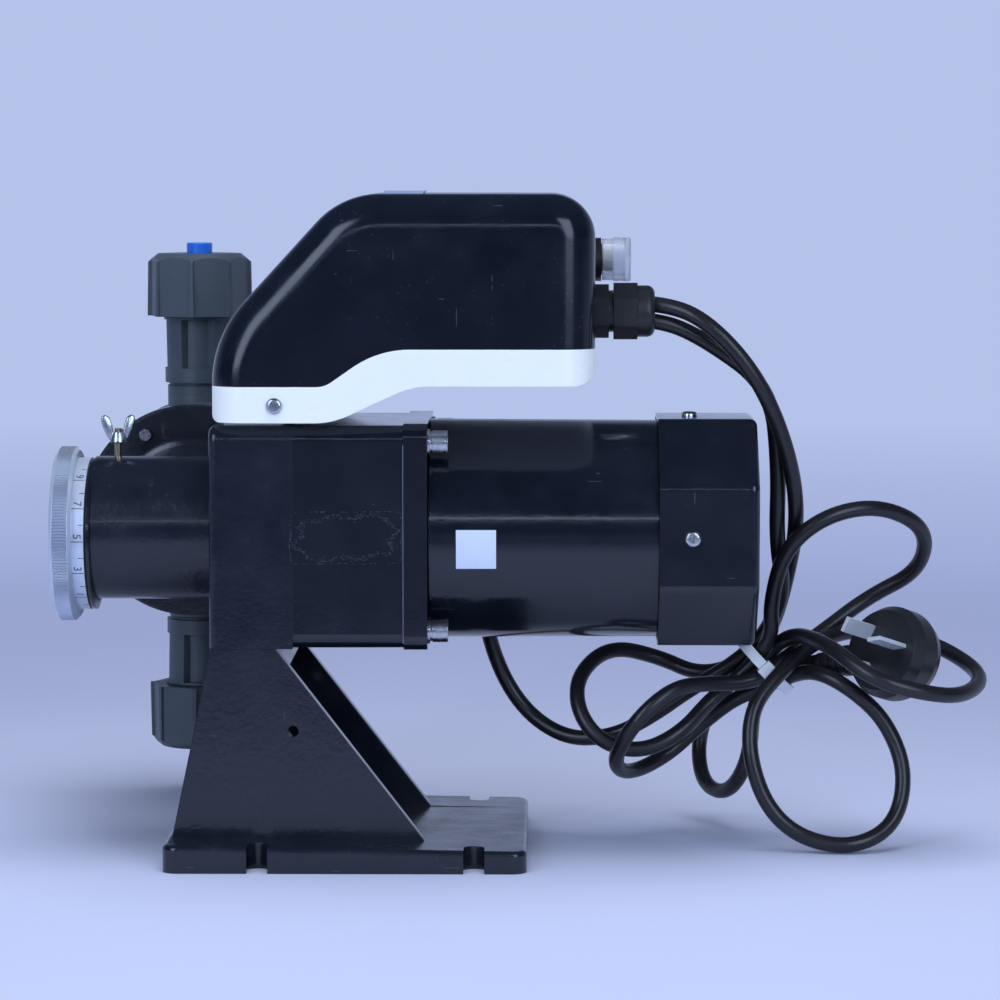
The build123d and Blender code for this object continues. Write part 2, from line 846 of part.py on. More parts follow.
# ---------------------------------------------------------------- pump head and valves
head_back = head_face + head_length
with BuildPart() as pump_head:
    head_section = ring_along_head(
        [
            (head_face, 0),
            (head_face, head_diameter / 2),
            (head_back - 3, head_diameter / 2),
            (head_back, head_diameter / 2 - 3),
            (head_back, 24),
            (head_back - 2, 22),
            (head_back - 2, 0),
        ]
    )
    revolve(head_section, axis=head_axis)
    with BuildSketch(Plane.XY.offset(axis_height - boss_reach)):
        with Locations((head_axis_x, valve_y)):
            Circle(boss_diameter / 2)
    extrude(amount=2 * boss_reach)
    dish = ring_along_head(
        [
            (head_face, 0),
            (head_face, chamber_diameter / 2),
            (head_face + 3, chamber_diameter / 2 - 1.5),
            (head_face + chamber_depth, chamber_diameter / 2 - 12),
            (head_face + chamber_depth, 0),
        ]
    )
    revolve(dish, axis=head_axis, mode=Mode.SUBTRACT)
    channel_inset = chamber_diameter / 2 - 9
    for side in (-1, 1):
        with BuildSketch(Plane.XZ.offset(-head_face - 1)):
            with Locations((head_axis_x, axis_height + side * channel_inset)):
                Circle(port_bore / 2)
        extrude(amount=head_face + 1 - valve_y, mode=Mode.SUBTRACT)
        port_plane = Plane.XY.offset(axis_height + side * channel_inset)
        with BuildSketch(port_plane):
            with Locations((head_axis_x, valve_y)):
                Circle(port_bore / 2)
        extrude(amount=side * (boss_reach - channel_inset), mode=Mode.SUBTRACT)
        with BuildSketch(Plane.XY.offset(axis_height + side * boss_reach)):
            with Locations((head_axis_x, valve_y)):
                Circle(valve_thread / 2 + thread_gap - 4)
        extrude(amount=-side * 8, mode=Mode.SUBTRACT)
    with BuildSketch(Plane.XZ.offset(-head_face)):
        with Locations((head_axis_x, axis_height)):
            with PolarLocations(head_bolt_circle / 2, head_bolt_count, head_bolt_angle):
                Circle(head_bolt / 2 + 0.25)
    extrude(amount=-head_length, mode=Mode.SUBTRACT)

with BuildPart() as head_bolts:
    bolt_plane = Plane(origin=(head_axis_x, 0, axis_height), x_dir=(1, 0, 0), z_dir=(0, 1, 0))
    bolt_from = flange_face - 2.2
    with BuildSketch(bolt_plane.offset(bolt_from)):
        with PolarLocations(head_bolt_circle / 2, head_bolt_count, head_bolt_angle):
            Circle(head_bolt / 2)
    extrude(amount=head_back + 4 - bolt_from)
    with BuildSketch(bolt_plane.offset(head_back)):
        with PolarLocations(head_bolt_circle / 2, head_bolt_count, head_bolt_angle):
            Circle(head_bolt + 0.6)
    extrude(amount=1.0)
    with BuildSketch(bolt_plane.offset(head_back + 1.0)):
        with PolarLocations(head_bolt_circle / 2, head_bolt_count, head_bolt_angle):
            Circle(4.3)
    extrude(amount=5.0)
    with BuildSketch(bolt_plane.offset(head_back + 3.2)):
        with PolarLocations(head_bolt_circle / 2, head_bolt_count, head_bolt_angle):
            RegularPolygon(2.3, 6)
    extrude(amount=2.8, mode=Mode.SUBTRACT)


def valve_point(radius, offset, side):
    """A point of a valve's half profile: its radius, and its distance from the head axis."""
    return (valve_y + radius, axis_height + side * offset)


def valve_ring(corners, side):
    """Half section about the valve axis from (radius, offset) corners."""
    return outline([valve_point(radius, offset, side) for radius, offset in corners], head_plane)


valve_radius = valve_diameter / 2
cavity_radius = ball_diameter / 2 + ball_play
ball_rest = math.sqrt((ball_diameter / 2) ** 2 - (port_bore / 2) ** 2)
cavity_length = ball_rest + ball_diameter / 2 + ball_lift + loose
spigot_radius = valve_thread / 2 - 4
spigot_length = 8.0
discharge_seat = 58.0
suction_seat = 77.0
window_height = nut_start - 2.5 - valve_ring_end
window_rib = 2 * valve_radius * math.sin(math.radians(45 - window_angle / 2))


def valve_shell(side, bore):
    """A cartridge valve body screwed into the head, with four sunk windows in its cage."""
    with BuildPart() as body:
        outer = valve_ring(
            [
                (0, boss_reach - spigot_length + 0.5),
                (spigot_radius, boss_reach - spigot_length + 0.5),
                (spigot_radius, boss_reach),
                (boss_diameter / 2, boss_reach),
                (boss_diameter / 2, valve_groove - 1.4),
                (valve_radius - 1.8, valve_groove - 1.0),
                (valve_radius - 1.8, valve_groove),
                (valve_radius, valve_groove),
                (valve_radius, valve_ring_end),
                (valve_radius + 0.5, nut_start - loose),
                (valve_thread / 2, nut_start - loose),
                (valve_thread / 2, valve_reach),
                (0, valve_reach),
            ],
            side,
        )
        revolve(outer, axis=valve_axis)
        middle = axis_height + side * (valve_ring_end + 1 + window_height / 2)
        with BuildSketch(Plane.XY.offset(middle)):
            with Locations((head_axis_x, valve_y)):
                Circle(valve_radius + 2)
                Circle(valve_radius - window_depth, mode=Mode.SUBTRACT)
                Rectangle(3 * valve_radius, window_rib, rotation=45, mode=Mode.SUBTRACT)
                Rectangle(3 * valve_radius, window_rib, rotation=-45, mode=Mode.SUBTRACT)
        extrude(amount=window_height / 2, both=True, mode=Mode.SUBTRACT)
        revolve(valve_ring(bore, side), axis=valve_axis, mode=Mode.SUBTRACT)
    return body


def seat_section(inner_end, outer_end, side):
    """Section of a ring that the ball rests on."""
    return valve_ring(
        [
            (port_bore / 2, inner_end),
            (seat_diameter / 2 - thread_gap, inner_end),
            (seat_diameter / 2 - thread_gap, outer_end),
            (port_bore / 2, outer_end),
        ],
        side,
    )


discharge_stop = discharge_seat + cavity_length
discharge_valve = valve_shell(
    1,
    [
        (0, boss_reach - spigot_length),
        (seat_diameter / 2, boss_reach - spigot_length),
        (seat_diameter / 2, discharge_seat),
        (cavity_radius, discharge_seat),
        (cavity_radius, discharge_stop),
        (outlet_bore / 2, discharge_stop),
        (outlet_bore / 2, valve_reach + 1),
        (0, valve_reach + 1),
    ],
)
suction_stop = suction_seat - cavity_length
suction_valve = valve_shell(
    -1,
    [
        (0, boss_reach - spigot_length),
        (outlet_bore / 2, boss_reach - spigot_length),
        (outlet_bore / 2, suction_stop),
        (cavity_radius, suction_stop),
        (cavity_radius, suction_seat),
        (seat_diameter / 2, suction_seat),
        (seat_diameter / 2, valve_reach + 1),
        (0, valve_reach + 1),
    ],
)

with BuildPart() as valve_seats:
    revolve(seat_section(discharge_seat - seat_length, discharge_seat, 1), axis=valve_axis)
    revolve(seat_section(suction_seat, suction_seat + seat_length, -1), axis=valve_axis)

with BuildPart() as valve_o_rings:
    for side in (-1, 1):
        with BuildSketch(head_plane):
            with Locations((valve_y + spigot_radius - 1.9, axis_height + side * (valve_reach + 1.05))):
                Circle(1.0)
        revolve(axis=valve_axis)

ball_gap = 0.02
discharge_ball_height = axis_height + discharge_seat + ball_rest + ball_gap
suction_ball_height = axis_height - suction_seat + ball_rest + ball_gap
with BuildPart() as discharge_ball:
    with Locations((head_axis_x, valve_y, discharge_ball_height)):
        Sphere(ball_diameter / 2)

with BuildPart() as suction_ball:
    with Locations((head_axis_x, valve_y, suction_ball_height)):
        Sphere(ball_diameter / 2)


def union_nut(side):
    """A moulded union nut with flats, a grip rib on each corner and a drafted skirt."""
    with BuildPart() as nut:
        with BuildSketch(Plane.XY.offset(axis_height + side * nut_start)):
            with Locations((head_axis_x, valve_y)):
                RegularPolygon(nut_flats / 2, rib_count, major_radius=False, rotation=rib_angle)
                with PolarLocations(nut_diameter / 4, rib_count, start_angle=rib_angle):
                    Rectangle(nut_diameter / 2, rib_width)
        extrude(amount=side * (nut_end - nut_start), taper=nut_draft)
        cone = valve_ring(
            [
                (0, nut_start),
                (nut_diameter, nut_start),
                (nut_diameter, nut_chamfer_start),
                (nut_diameter / 2 - 0.4, nut_chamfer_start),
                (nut_diameter / 2 - 5.0, nut_end),
                (0, nut_end),
            ],
            side,
        )
        revolve(cone, axis=valve_axis, mode=Mode.INTERSECT)
        hollow = valve_ring(
            [
                (0, nut_start - 1),
                (valve_thread / 2 + thread_gap, nut_start - 1),
                (valve_thread / 2 + thread_gap, valve_reach + 2.1),
                (nut_bore / 2 + 3, valve_reach + 2.1),
                (nut_bore / 2 + 3, nut_end - 7),
                (nut_bore / 2, nut_end - 7),
                (nut_bore / 2, nut_end + 1),
                (0, nut_end + 1),
            ],
            side,
        )
        revolve(hollow, axis=valve_axis, mode=Mode.SUBTRACT)
    return nut


suction_union_nut = union_nut(-1)
discharge_union_nut = union_nut(1)

with BuildPart() as outlet_plug:
    plug_foot = valve_reach - 6
    plug_section = valve_ring(
        [
            (0, plug_foot),
            (outlet_bore / 2 - 1.0, plug_foot),
            (outlet_bore / 2 - 0.3, plug_foot + 2),
            (outlet_bore / 2 - 0.3, valve_reach + 0.4),
            (plug_diameter / 2 - 0.5, valve_reach + 1.4),
            (plug_diameter / 2, plug_top - 0.5),
            (plug_diameter / 2 - 0.5, plug_top),
            (0, plug_top),
        ],
        1,
    )
    revolve(plug_section, axis=valve_axis)

# ---------------------------------------------------------------- gear case and gears
case_left = gear_case_left
cavity_left = case_left + case_wall
lay_bearing_outer = 22.0
lay_bearing_width = 7.0
lay_pinion_left = wheel_left - 1.0
wheel_one_left = lay_pinion_left + pinion_width + 2.0
wheel_one_width = 6.0
motor_pinion_left = wheel_one_left - 1.5
lay_left = case_left + case_wall - lay_bearing_width
lay_right = shield_left + lay_bearing_width
wheel_step = 2 * math.pi / wheel_teeth
pinion_step = 2 * math.pi / pinion_teeth
up = math.pi / 2
drive_plane_turn = up + wheel_step / 2

with BuildPart() as gear_case:
    with BuildSketch(Plane.YZ.offset(case_left)):
        with Locations((0, axis_height)):
            RectangleRounded(frame_size, frame_size, frame_corner)
    extrude(amount=gear_case_length)
    with BuildSketch(Plane.YZ.offset(cavity_left)):
        with Locations((0, axis_height)):
            Circle(case_bore / 2)
    extrude(amount=gear_case_length, mode=Mode.SUBTRACT)
    with BuildSketch(Plane.YZ.offset(case_left)):
        with Locations((0, axis_height)):
            Circle(shaft_diameter / 2 + 1.0)
        with Locations((0, axis_height)):
            with GridLocations(long_screw_spread, long_screw_spread, 2, 2):
                Circle(long_screw / 2 + loose)
    extrude(amount=gear_case_length, mode=Mode.SUBTRACT)
    with BuildSketch(Plane.YZ.offset(cavity_left)):
        with Locations((0, axis_height + layshaft_offset)):
            Circle(lay_bearing_outer / 2)
    extrude(amount=-lay_bearing_width, mode=Mode.SUBTRACT)

with BuildPart() as layshaft_gear:
    with BuildSketch(Plane.YZ.offset(lay_left)):
        with Locations((0, axis_height + layshaft_offset)):
            Circle(layshaft_diameter / 2)
    extrude(amount=lay_right - lay_left)
    lay_height = axis_height + layshaft_offset
    extrude(
        gear_face(pinion_teeth, -up, lay_height, lay_pinion_left),
        amount=pinion_width,
    )
    extrude(
        gear_face(wheel_teeth, -up + wheel_step / 2, lay_height, wheel_one_left),
        amount=wheel_one_width,
    )

with BuildPart() as output_gear:
    extrude(
        gear_face(wheel_teeth, drive_plane_turn, axis_height, wheel_left),
        amount=wheel_width,
    )
    with BuildSketch(Plane.YZ.offset(wheel_left)):
        with Locations((0, axis_height)):
            Circle(shaft_diameter / 2)
    extrude(amount=wheel_width, mode=Mode.SUBTRACT)

with BuildPart() as gearbox_bearings:
    revolve(
        bearing_section(chamber_right, bearing_width, shaft_diameter, bearing_outer),
        axis=drive_axis,
    )
    revolve(
        bearing_section(pocket_right, bearing_width, shaft_diameter, bearing_outer),
        axis=drive_axis,
    )
    for left in (lay_left, shield_left):
        lay_race = bearing_section(
            left,
            lay_bearing_width,
            layshaft_diameter,
            lay_bearing_outer,
            lay_height,
        )
        revolve(lay_race, axis=lay_axis)

# ---------------------------------------------------------------- motor
shield_boss_end = motor_left + 9.0
front_bearing_left = shield_boss_end - motor_bearing_width
rear_face = cover_left
rear_plate = 4.8
rear_boss_start = rear_face - 8.0
rear_bearing_left = rear_boss_start
spigot_depth = 4.0
spigot_play = 0.05
rear_ring_outer = cover_flats - 2 * cover_wall - 2 * loose - 0.2
rear_ring_wall = 4.0
rear_ring_end = rear_face + cover_screw_inset + 5.0
rotor_left = motor_pinion_left
rotor_right = cover_left + 32.0

with BuildPart() as front_shield:
    with BuildSketch(Plane.YZ.offset(shield_left)):
        with Locations((0, axis_height)):
            RectangleRounded(frame_size + shield_oversize, frame_size + shield_oversize, frame_corner)
    extrude(amount=shield_length)
    shield_boss = along_drive(
        [
            (shield_left, motor_bearing_outer / 2 + 4),
            (shield_boss_end, motor_bearing_outer / 2 + 4),
        ]
    )
    revolve(shield_boss, axis=drive_axis)
    shield_spigot = along_drive(
        [
            (motor_left - 1, motor_bore / 2 - spigot_play),
            (motor_left + spigot_depth, motor_bore / 2 - spigot_play),
        ]
    )
    revolve(shield_spigot, axis=drive_axis)
    shield_bore = along_drive(
        [
            (shield_left, motor_shaft / 2 + 0.5),
            (front_bearing_left, motor_shaft / 2 + 0.5),
            (front_bearing_left, motor_bearing_outer / 2),
            (shield_boss_end, motor_bearing_outer / 2),
        ]
    )
    revolve(shield_bore, axis=drive_axis, mode=Mode.SUBTRACT)
    with BuildSketch(Plane.YZ.offset(shield_left)):
        with Locations((0, axis_height + layshaft_offset)):
            Circle(lay_bearing_outer / 2)
    extrude(amount=lay_bearing_width, mode=Mode.SUBTRACT)
    with BuildSketch(Plane.YZ.offset(shield_left)):
        with Locations((0, axis_height)):
            with GridLocations(long_screw_spread, long_screw_spread, 2, 2):
                Circle(long_screw / 2 + loose)
    extrude(amount=shield_length, mode=Mode.SUBTRACT)

with BuildPart() as flange_screws:
    head_seat = motor_left + 2.0
    with BuildSketch(Plane.YZ.offset(motor_left)):
        with Locations((0, axis_height)):
            with GridLocations(long_screw_spread, long_screw_spread, 2, 2):
                Circle(long_screw_head / 2 + 0.6)
    extrude(amount=1.0)
    with BuildSketch(Plane.YZ.offset(motor_left + 1.0)):
        with Locations((0, axis_height)):
            with GridLocations(long_screw_spread, long_screw_spread, 2, 2):
                Circle(long_screw_head / 2 - 0.4)
    extrude(amount=1.0)
    with BuildSketch(Plane.YZ.offset(head_seat)):
        with Locations((0, axis_height)):
            with GridLocations(long_screw_spread, long_screw_spread, 2, 2):
                Circle(long_screw_head / 2)
    extrude(amount=6.2)
    with BuildSketch(Plane.YZ.offset(head_seat + 6.2)):
        with Locations((0, axis_height)):
            with GridLocations(long_screw_spread, long_screw_spread, 2, 2):
                RegularPolygon(2.9, 6)
    extrude(amount=-3.4, mode=Mode.SUBTRACT)
    with BuildSketch(Plane.YZ.offset(case_left - long_screw_grip)):
        with Locations((0, axis_height)):
            with GridLocations(long_screw_spread, long_screw_spread, 2, 2):
                Circle(long_screw / 2)
    extrude(amount=head_seat - case_left + long_screw_grip)

lead_angle = math.radians(-52)
lead_plane = Plane(
    origin=(54.8, 0, axis_height),
    x_dir=(1, 0, 0),
    z_dir=(0, math.cos(lead_angle), math.sin(lead_angle)),
)
grommet_outer = 12.0
with BuildPart() as motor_body:
    motor_section = along_drive(
        [
            (motor_left, motor_diameter / 2 - 0.6),
            (motor_left + 0.6, motor_diameter / 2),
            (cover_left, motor_small_end / 2),
        ]
    )
    revolve(motor_section, axis=drive_axis)
    with BuildSketch(Plane.YZ.offset(motor_left)):
        with Locations((0, axis_height)):
            Circle(motor_bore / 2)
    extrude(amount=motor_length, mode=Mode.SUBTRACT)
    with BuildSketch(lead_plane.offset(motor_bore / 2 - 4)):
        Circle(grommet_outer / 2)
    extrude(amount=12, mode=Mode.SUBTRACT)

with BuildPart() as motor_grommet:
    with BuildSketch(lead_plane.offset(motor_bore / 2 + 0.4)):
        Circle(grommet_outer / 2 - 0.05)
    extrude(amount=motor_diameter / 2 - motor_bore / 2)
    with BuildSketch(lead_plane.offset(motor_diameter / 2 + 0.3)):
        Circle(grommet_outer / 2 + 1.4)
    extrude(amount=2.2)
    with BuildSketch(lead_plane.offset(motor_bore / 2)):
        Circle(cord_diameter / 2 + 0.05)
    extrude(amount=10, mode=Mode.SUBTRACT)

core_right = core_left + core_length
with BuildPart() as stator_core:
    stator_section = ring_along_drive(
        [
            (core_left, stator_bore / 2),
            (core_left, motor_bore / 2 - 0.02),
            (core_right, motor_bore / 2 - 0.02),
            (core_right, stator_bore / 2),
        ]
    )
    revolve(stator_section, axis=drive_axis)

with BuildPart() as stator_windings:
    for left, right in ((core_left - 9, core_left), (core_right, core_right + 9)):
        winding_section = ring_along_drive(
            [
                (left + 2, stator_bore / 2 + 2),
                (left, stator_bore / 2 + 5),
                (left, motor_bore / 2 - 5),
                (left + 2, motor_bore / 2 - 2.5),
                (right - 2, motor_bore / 2 - 2.5),
                (right, motor_bore / 2 - 5),
                (right, stator_bore / 2 + 5),
                (right - 2, stator_bore / 2 + 2),
            ]
        )
        revolve(winding_section, axis=drive_axis)

with BuildPart() as rotor_core:
    rotor_section = ring_along_drive(
        [
            (core_left - 4, motor_shaft / 2 + 4),
            (core_left - 4, rotor_diameter / 2 - 4),
            (core_left, rotor_diameter / 2 - 4),
            (core_left, rotor_diameter / 2),
            (core_right, rotor_diameter / 2),
            (core_right, rotor_diameter / 2 - 4),
            (core_right + 4, rotor_diameter / 2 - 4),
            (core_right + 4, motor_shaft / 2 + 4),
            (core_right, motor_shaft / 2 + 4),
            (core_right, motor_shaft / 2),
            (core_left, motor_shaft / 2),
            (core_left, motor_shaft / 2 + 4),
        ]
    )
    revolve(rotor_section, axis=drive_axis)

with BuildPart() as rotor_shaft:
    extrude(
        gear_face(pinion_teeth, up, axis_height, rotor_left),
        amount=wheel_one_width + 3,
    )
    neck_end = shield_left + 3.0
    rotor_steps = along_drive(
        [
            (rotor_left + wheel_one_width + 3, 3.6),
            (neck_end, 3.6),
            (neck_end, motor_shaft / 2),
            (rotor_right - 0.6, motor_shaft / 2),
            (rotor_right, motor_shaft / 2 - 0.6),
        ]
    )
    revolve(rotor_steps, axis=drive_axis)

with BuildPart() as rotor_bearings:
    for left in (front_bearing_left, rear_bearing_left):
        revolve(
            bearing_section(left, motor_bearing_width, motor_shaft, motor_bearing_outer),
            axis=drive_axis,
        )

with BuildPart() as rear_shield:
    rear_section = ring_along_drive(
        [
            (rear_boss_start, motor_bearing_outer / 2),
            (rear_boss_start, motor_bearing_outer / 2 + 4),
            (rear_face, motor_bearing_outer / 2 + 6),
            (rear_face, motor_bore / 2 - 5),
            (rear_face - spigot_depth, motor_bore / 2 - 4),
            (rear_face - spigot_depth, motor_bore / 2 - spigot_play),
            (rear_face, motor_bore / 2 - spigot_play),
            (rear_face, rear_ring_outer / 2),
            (rear_ring_end, rear_ring_outer / 2),
            (rear_ring_end, rear_ring_outer / 2 - rear_ring_wall),
            (rear_face + rear_plate, rear_ring_outer / 2 - rear_ring_wall),
            (rear_face + rear_plate, motor_shaft / 2 + 0.6),
            (rear_boss_start + motor_bearing_width, motor_shaft / 2 + 0.6),
            (rear_boss_start + motor_bearing_width, motor_bearing_outer / 2),
        ]
    )
    revolve(rear_section, axis=drive_axis)
    for turn in range(4):
        screw_plane = Plane(
            origin=(cover_left + cover_screw_inset, 0, axis_height),
            x_dir=(1, 0, 0),
            z_dir=(0, math.cos(turn * math.pi / 2), math.sin(turn * math.pi / 2)),
        )
        with BuildSketch(screw_plane.offset(rear_ring_outer / 2 - rear_ring_wall - 1)):
            Circle(2.0 + thread_gap)
        extrude(amount=rear_ring_wall + 3, mode=Mode.SUBTRACT)

fan_left = rear_ring_end + 1.5
with BuildPart() as cooling_fan:
    fan_hub = ring_along_drive(
        [
            (fan_left, motor_shaft / 2),
            (fan_left, fan_diameter / 2),
            (fan_left + 2, fan_diameter / 2),
            (fan_left + 3, 14),
            (rotor_right - 1, 11),
            (rotor_right - 1, motor_shaft / 2),
        ]
    )
    revolve(fan_hub, axis=drive_axis)
    blade_plane = Plane.YZ.offset(fan_left + 1.5)
    with BuildSketch(blade_plane):
        with Locations((0, axis_height)):
            with PolarLocations((fan_diameter / 2 + 11) / 2, fan_blades):
                Rectangle(fan_diameter / 2 - 12, 1.6)
    extrude(amount=rotor_right - fan_left - 3)

cover_right = cover_left + cover_length


def cover_outline(inset):
    """Octagon of the fan cover, with wide sides and narrow cut corners."""
    half = cover_flats / 2 - inset
    cut = half - cover_chamfer + (2 - math.sqrt(2)) * inset
    return [
        (-half, axis_height - cut),
        (-cut, axis_height - half),
        (cut, axis_height - half),
        (half, axis_height - cut),
        (half, axis_height + cut),
        (cut, axis_height + half),
        (-cut, axis_height + half),
        (-half, axis_height + cut),
    ]


with BuildPart() as fan_cover:
    extrude(outline(cover_outline(0), Plane.YZ.offset(cover_left)), amount=cover_length)
    fillet(fan_cover.edges().filter_by(Axis.X), radius=cover_bend)
    fillet(fan_cover.faces().sort_by(Axis.X)[-1].edges(), radius=cover_end_bend)
    with BuildSketch(Plane.YZ.offset(cover_left)) as cover_hollow:
        with BuildLine():
            Polyline(*cover_outline(cover_wall), close=True)
        make_face()
        fillet(cover_hollow.vertices(), radius=cover_bend - cover_wall)
    extrude(amount=cover_length - cover_wall, mode=Mode.SUBTRACT)
    with BuildSketch(Plane.YZ.offset(cover_right - cover_wall - 1)):
        with Locations((0, axis_height)):
            for ring in range(1, 5):
                slot_count = 4 + 4 * ring
                with PolarLocations(6.0 + 6.6 * (ring - 0.4), slot_count):
                    SlotOverall(6.4, 3.4)
    extrude(amount=cover_wall + 2, mode=Mode.SUBTRACT)
    for turn in range(4):
        screw_plane = Plane(
            origin=(cover_left + cover_screw_inset, 0, axis_height),
            x_dir=(1, 0, 0),
            z_dir=(0, math.cos(turn * math.pi / 2), math.sin(turn * math.pi / 2)),
        )
        with BuildSketch(screw_plane.offset(cover_flats / 2 - cover_wall - 1)):
            Circle(2.0 + loose / 2)
        extrude(amount=cover_wall + 2, mode=Mode.SUBTRACT)

# ---------------------------------------------------------------- control box


def box_profile(inset):
    """Side outline of the closed box, moved inwards by an even distance."""
    tilt = math.radians(box_slope)
    left = box_left + inset
    right = box_right - inset
    top = box_top - inset
    slope_x = box_slope_point[0] + inset * math.sin(tilt)
    slope_z = box_low_floor + box_slope_point[1] - inset * math.cos(tilt)
    nose_z = slope_z - (slope_x - left) * math.tan(tilt)
    brow_x = slope_x + (top - slope_z) / math.tan(tilt)
    with BuildSketch(side_plane) as face:
        with BuildLine():
            roof = FilletPolyline(
                (left, box_low_floor + box_seat_height + inset),
                (left, nose_z),
                (brow_x, top),
                (right, top),
                (right, box_high_floor + inset),
                radius=(
                    box_nose_radius - 2 - inset,
                    box_brow_radius - inset,
                    box_back_radius - inset,
                ),
            )
            floor = FilletPolyline(
                (right, box_high_floor + inset),
                (floor_rise[1], box_high_floor + inset),
                (floor_rise[0], box_low_floor + box_seat_height + inset),
                (left, box_low_floor + box_seat_height + inset),
                radius=(floor_bends[0] + inset, floor_bends[1] - inset),
            )
        make_face()
    return face.sketch


def box_blank(inset):
    """The box as one closed lump, rounded along its roof and its upright corners."""
    with BuildPart() as lump:
        extrude(box_profile(inset), amount=box_width / 2 - inset, both=True)
        rims = lump.edges().filter_by(
            lambda edge: abs(abs(edge.center().Y) - box_width / 2 + inset) < 0.01
        )
        low = rims.filter_by(lambda edge: edge.center().Z < box_high_floor + inset + 0.1)
        upright = low.filter_by(Axis.Z)
        roof_rims = rims.filter_by(lambda edge: edge not in low) + upright
        fillet(roof_rims, radius=box_edge - inset)
        for wall, floor, side, corner in (
            (box_left + inset, box_low_floor + box_seat_height + inset, -1, box_low_corner - inset),
            (box_right - inset, box_high_floor + inset, 1, box_high_corner - inset),
        ):
            with BuildSketch(side_plane):
                with Locations((wall - side * corner / 2, floor + corner / 2)):
                    Rectangle(corner, corner)
                with Locations((wall - side * corner, floor + corner)):
                    Circle(corner, mode=Mode.SUBTRACT)
            extrude(amount=box_width, both=True, mode=Mode.SUBTRACT)
    return lump.part


def joint_region():
    """Everything above the line where the cover meets the base, seen from the side."""
    with BuildSketch(side_plane) as face:
        with BuildLine():
            line = FilletPolyline(
                (box_left - 10, box_low_joint),
                (joint_rise[0], box_low_joint),
                (joint_rise[1], box_high_joint),
                (box_right + 10, box_high_joint),
                radius=joint_bends,
            )
            Polyline(
                (box_right + 10, box_high_joint),
                (box_right + 10, box_top + 10),
                (box_left - 10, box_top + 10),
                (box_left - 10, box_low_joint),
            )
        make_face()
    return face.sketch


outer_blank = box_blank(0)
inner_blank = box_blank(box_wall)
gland_plane = Plane.YZ.offset(box_right - box_wall - 2)

with BuildPart() as box_cover:
    add(outer_blank)
    add(inner_blank, mode=Mode.SUBTRACT)
    extrude(joint_region(), amount=box_width, both=True, mode=Mode.INTERSECT)
    with BuildSketch(gland_plane):
        with Locations((gland_y, gland_height)):
            Circle(gland_bore / 2)
        with Locations((socket_y, socket_height)):
            Circle(cap_diameter / 2 - 2.5)
    extrude(amount=box_wall + 4, mode=Mode.SUBTRACT)

with BuildPart() as box_base:
    add(outer_blank)
    add(inner_blank, mode=Mode.SUBTRACT)
    extrude(joint_region(), amount=box_width, both=True, mode=Mode.SUBTRACT)
    with BuildSketch(Plane.XY.offset(frame_top)):
        with Locations(((housing_left + gear_case_left) / 2 + 1, 0)):
            Rectangle(housing_length - 10, frame_size - 14)
    extrude(amount=box_seat_height + box_wall)
    with BuildSketch(Plane.XZ.offset(-box_width / 2 - 1)):
        with Locations((side_screw_x, side_screw_z)):
            Circle(2.0)
    extrude(amount=box_width + 2, mode=Mode.SUBTRACT)

with BuildPart() as control_board:
    board_height = box_high_joint + 6
    with BuildSketch(Plane.XY.offset(board_height)):
        with Locations((42, 0)):
            Rectangle(96, box_width - 2 * box_wall - 6)
    extrude(amount=1.6)
    with BuildSketch(Plane.XY.offset(board_height + 1.6)):
        with Locations((62, 22)):
            Rectangle(28, 24)
    extrude(amount=22)
    with BuildSketch(Plane.XY.offset(board_height + 1.6)):
        with Locations((18, -18), (18, 4), (18, 26)):
            Circle(6)
    extrude(amount=18)
    with BuildSketch(Plane.XY.offset(box_high_floor + box_wall)):
        with Locations((42, 0)):
            with GridLocations(80, 70, 2, 2):
                Circle(3)
    extrude(amount=board_height - box_high_floor - box_wall)

# ---------------------------------------------------------------- cable entry and signal socket
entry_plane = Plane.YZ.offset(box_right)
gland_slot = cord_diameter + 2 * gland_slot_play
with BuildPart() as gland_body:
    with BuildSketch(Plane.YZ.offset(box_right - box_wall - 4)):
        with Locations((gland_y, gland_height)):
            Circle(gland_bore / 2 - 0.1)
    extrude(amount=box_wall + 5)
    with BuildSketch(entry_plane):
        with Locations((gland_y, gland_height)):
            RegularPolygon(gland_hex / 2, 6, major_radius=False, rotation=30)
    extrude(amount=gland_body_hex)
    with BuildSketch(entry_plane.offset(gland_body_hex)):
        with Locations((gland_y, gland_height)):
            Circle(gland_bore / 2)
    extrude(amount=gland_thread)
    with BuildSketch(Plane.YZ.offset(box_right - box_wall - 4)):
        with Locations((gland_y, gland_height)):
            SlotOverall(cord_spread + gland_slot, gland_slot, rotation=90)
    extrude(amount=box_wall + gland_body_hex + gland_thread + 5, mode=Mode.SUBTRACT)

with BuildPart() as gland_nut:
    with BuildSketch(entry_plane.offset(gland_nut_start)):
        with Locations((gland_y, gland_height)):
            RegularPolygon(gland_hex / 2 + 0.5, 6, major_radius=False, rotation=30)
    extrude(amount=gland_nut_hex)
    with BuildSketch(entry_plane.offset(gland_nut_start + gland_nut_hex)):
        with Locations((gland_y, gland_height)):
            Circle(gland_dome_diameter / 2)
    extrude(amount=gland_dome)
    fillet(gland_nut.faces().sort_by(Axis.X)[-1].edges(), radius=gland_dome_edge)
    with BuildSketch(entry_plane.offset(gland_nut_start)):
        with Locations((gland_y, gland_height)):
            Circle(gland_bore / 2 + thread_gap)
    extrude(
        amount=gland_body_hex + gland_thread + 2 * running - gland_nut_start,
        mode=Mode.SUBTRACT,
    )
    with BuildSketch(entry_plane):
        with Locations((gland_y, gland_height)):
            SlotOverall(cord_spread + gland_slot, gland_slot, rotation=90)
    extrude(amount=2 * gland_nut_hex + gland_dome, mode=Mode.SUBTRACT)

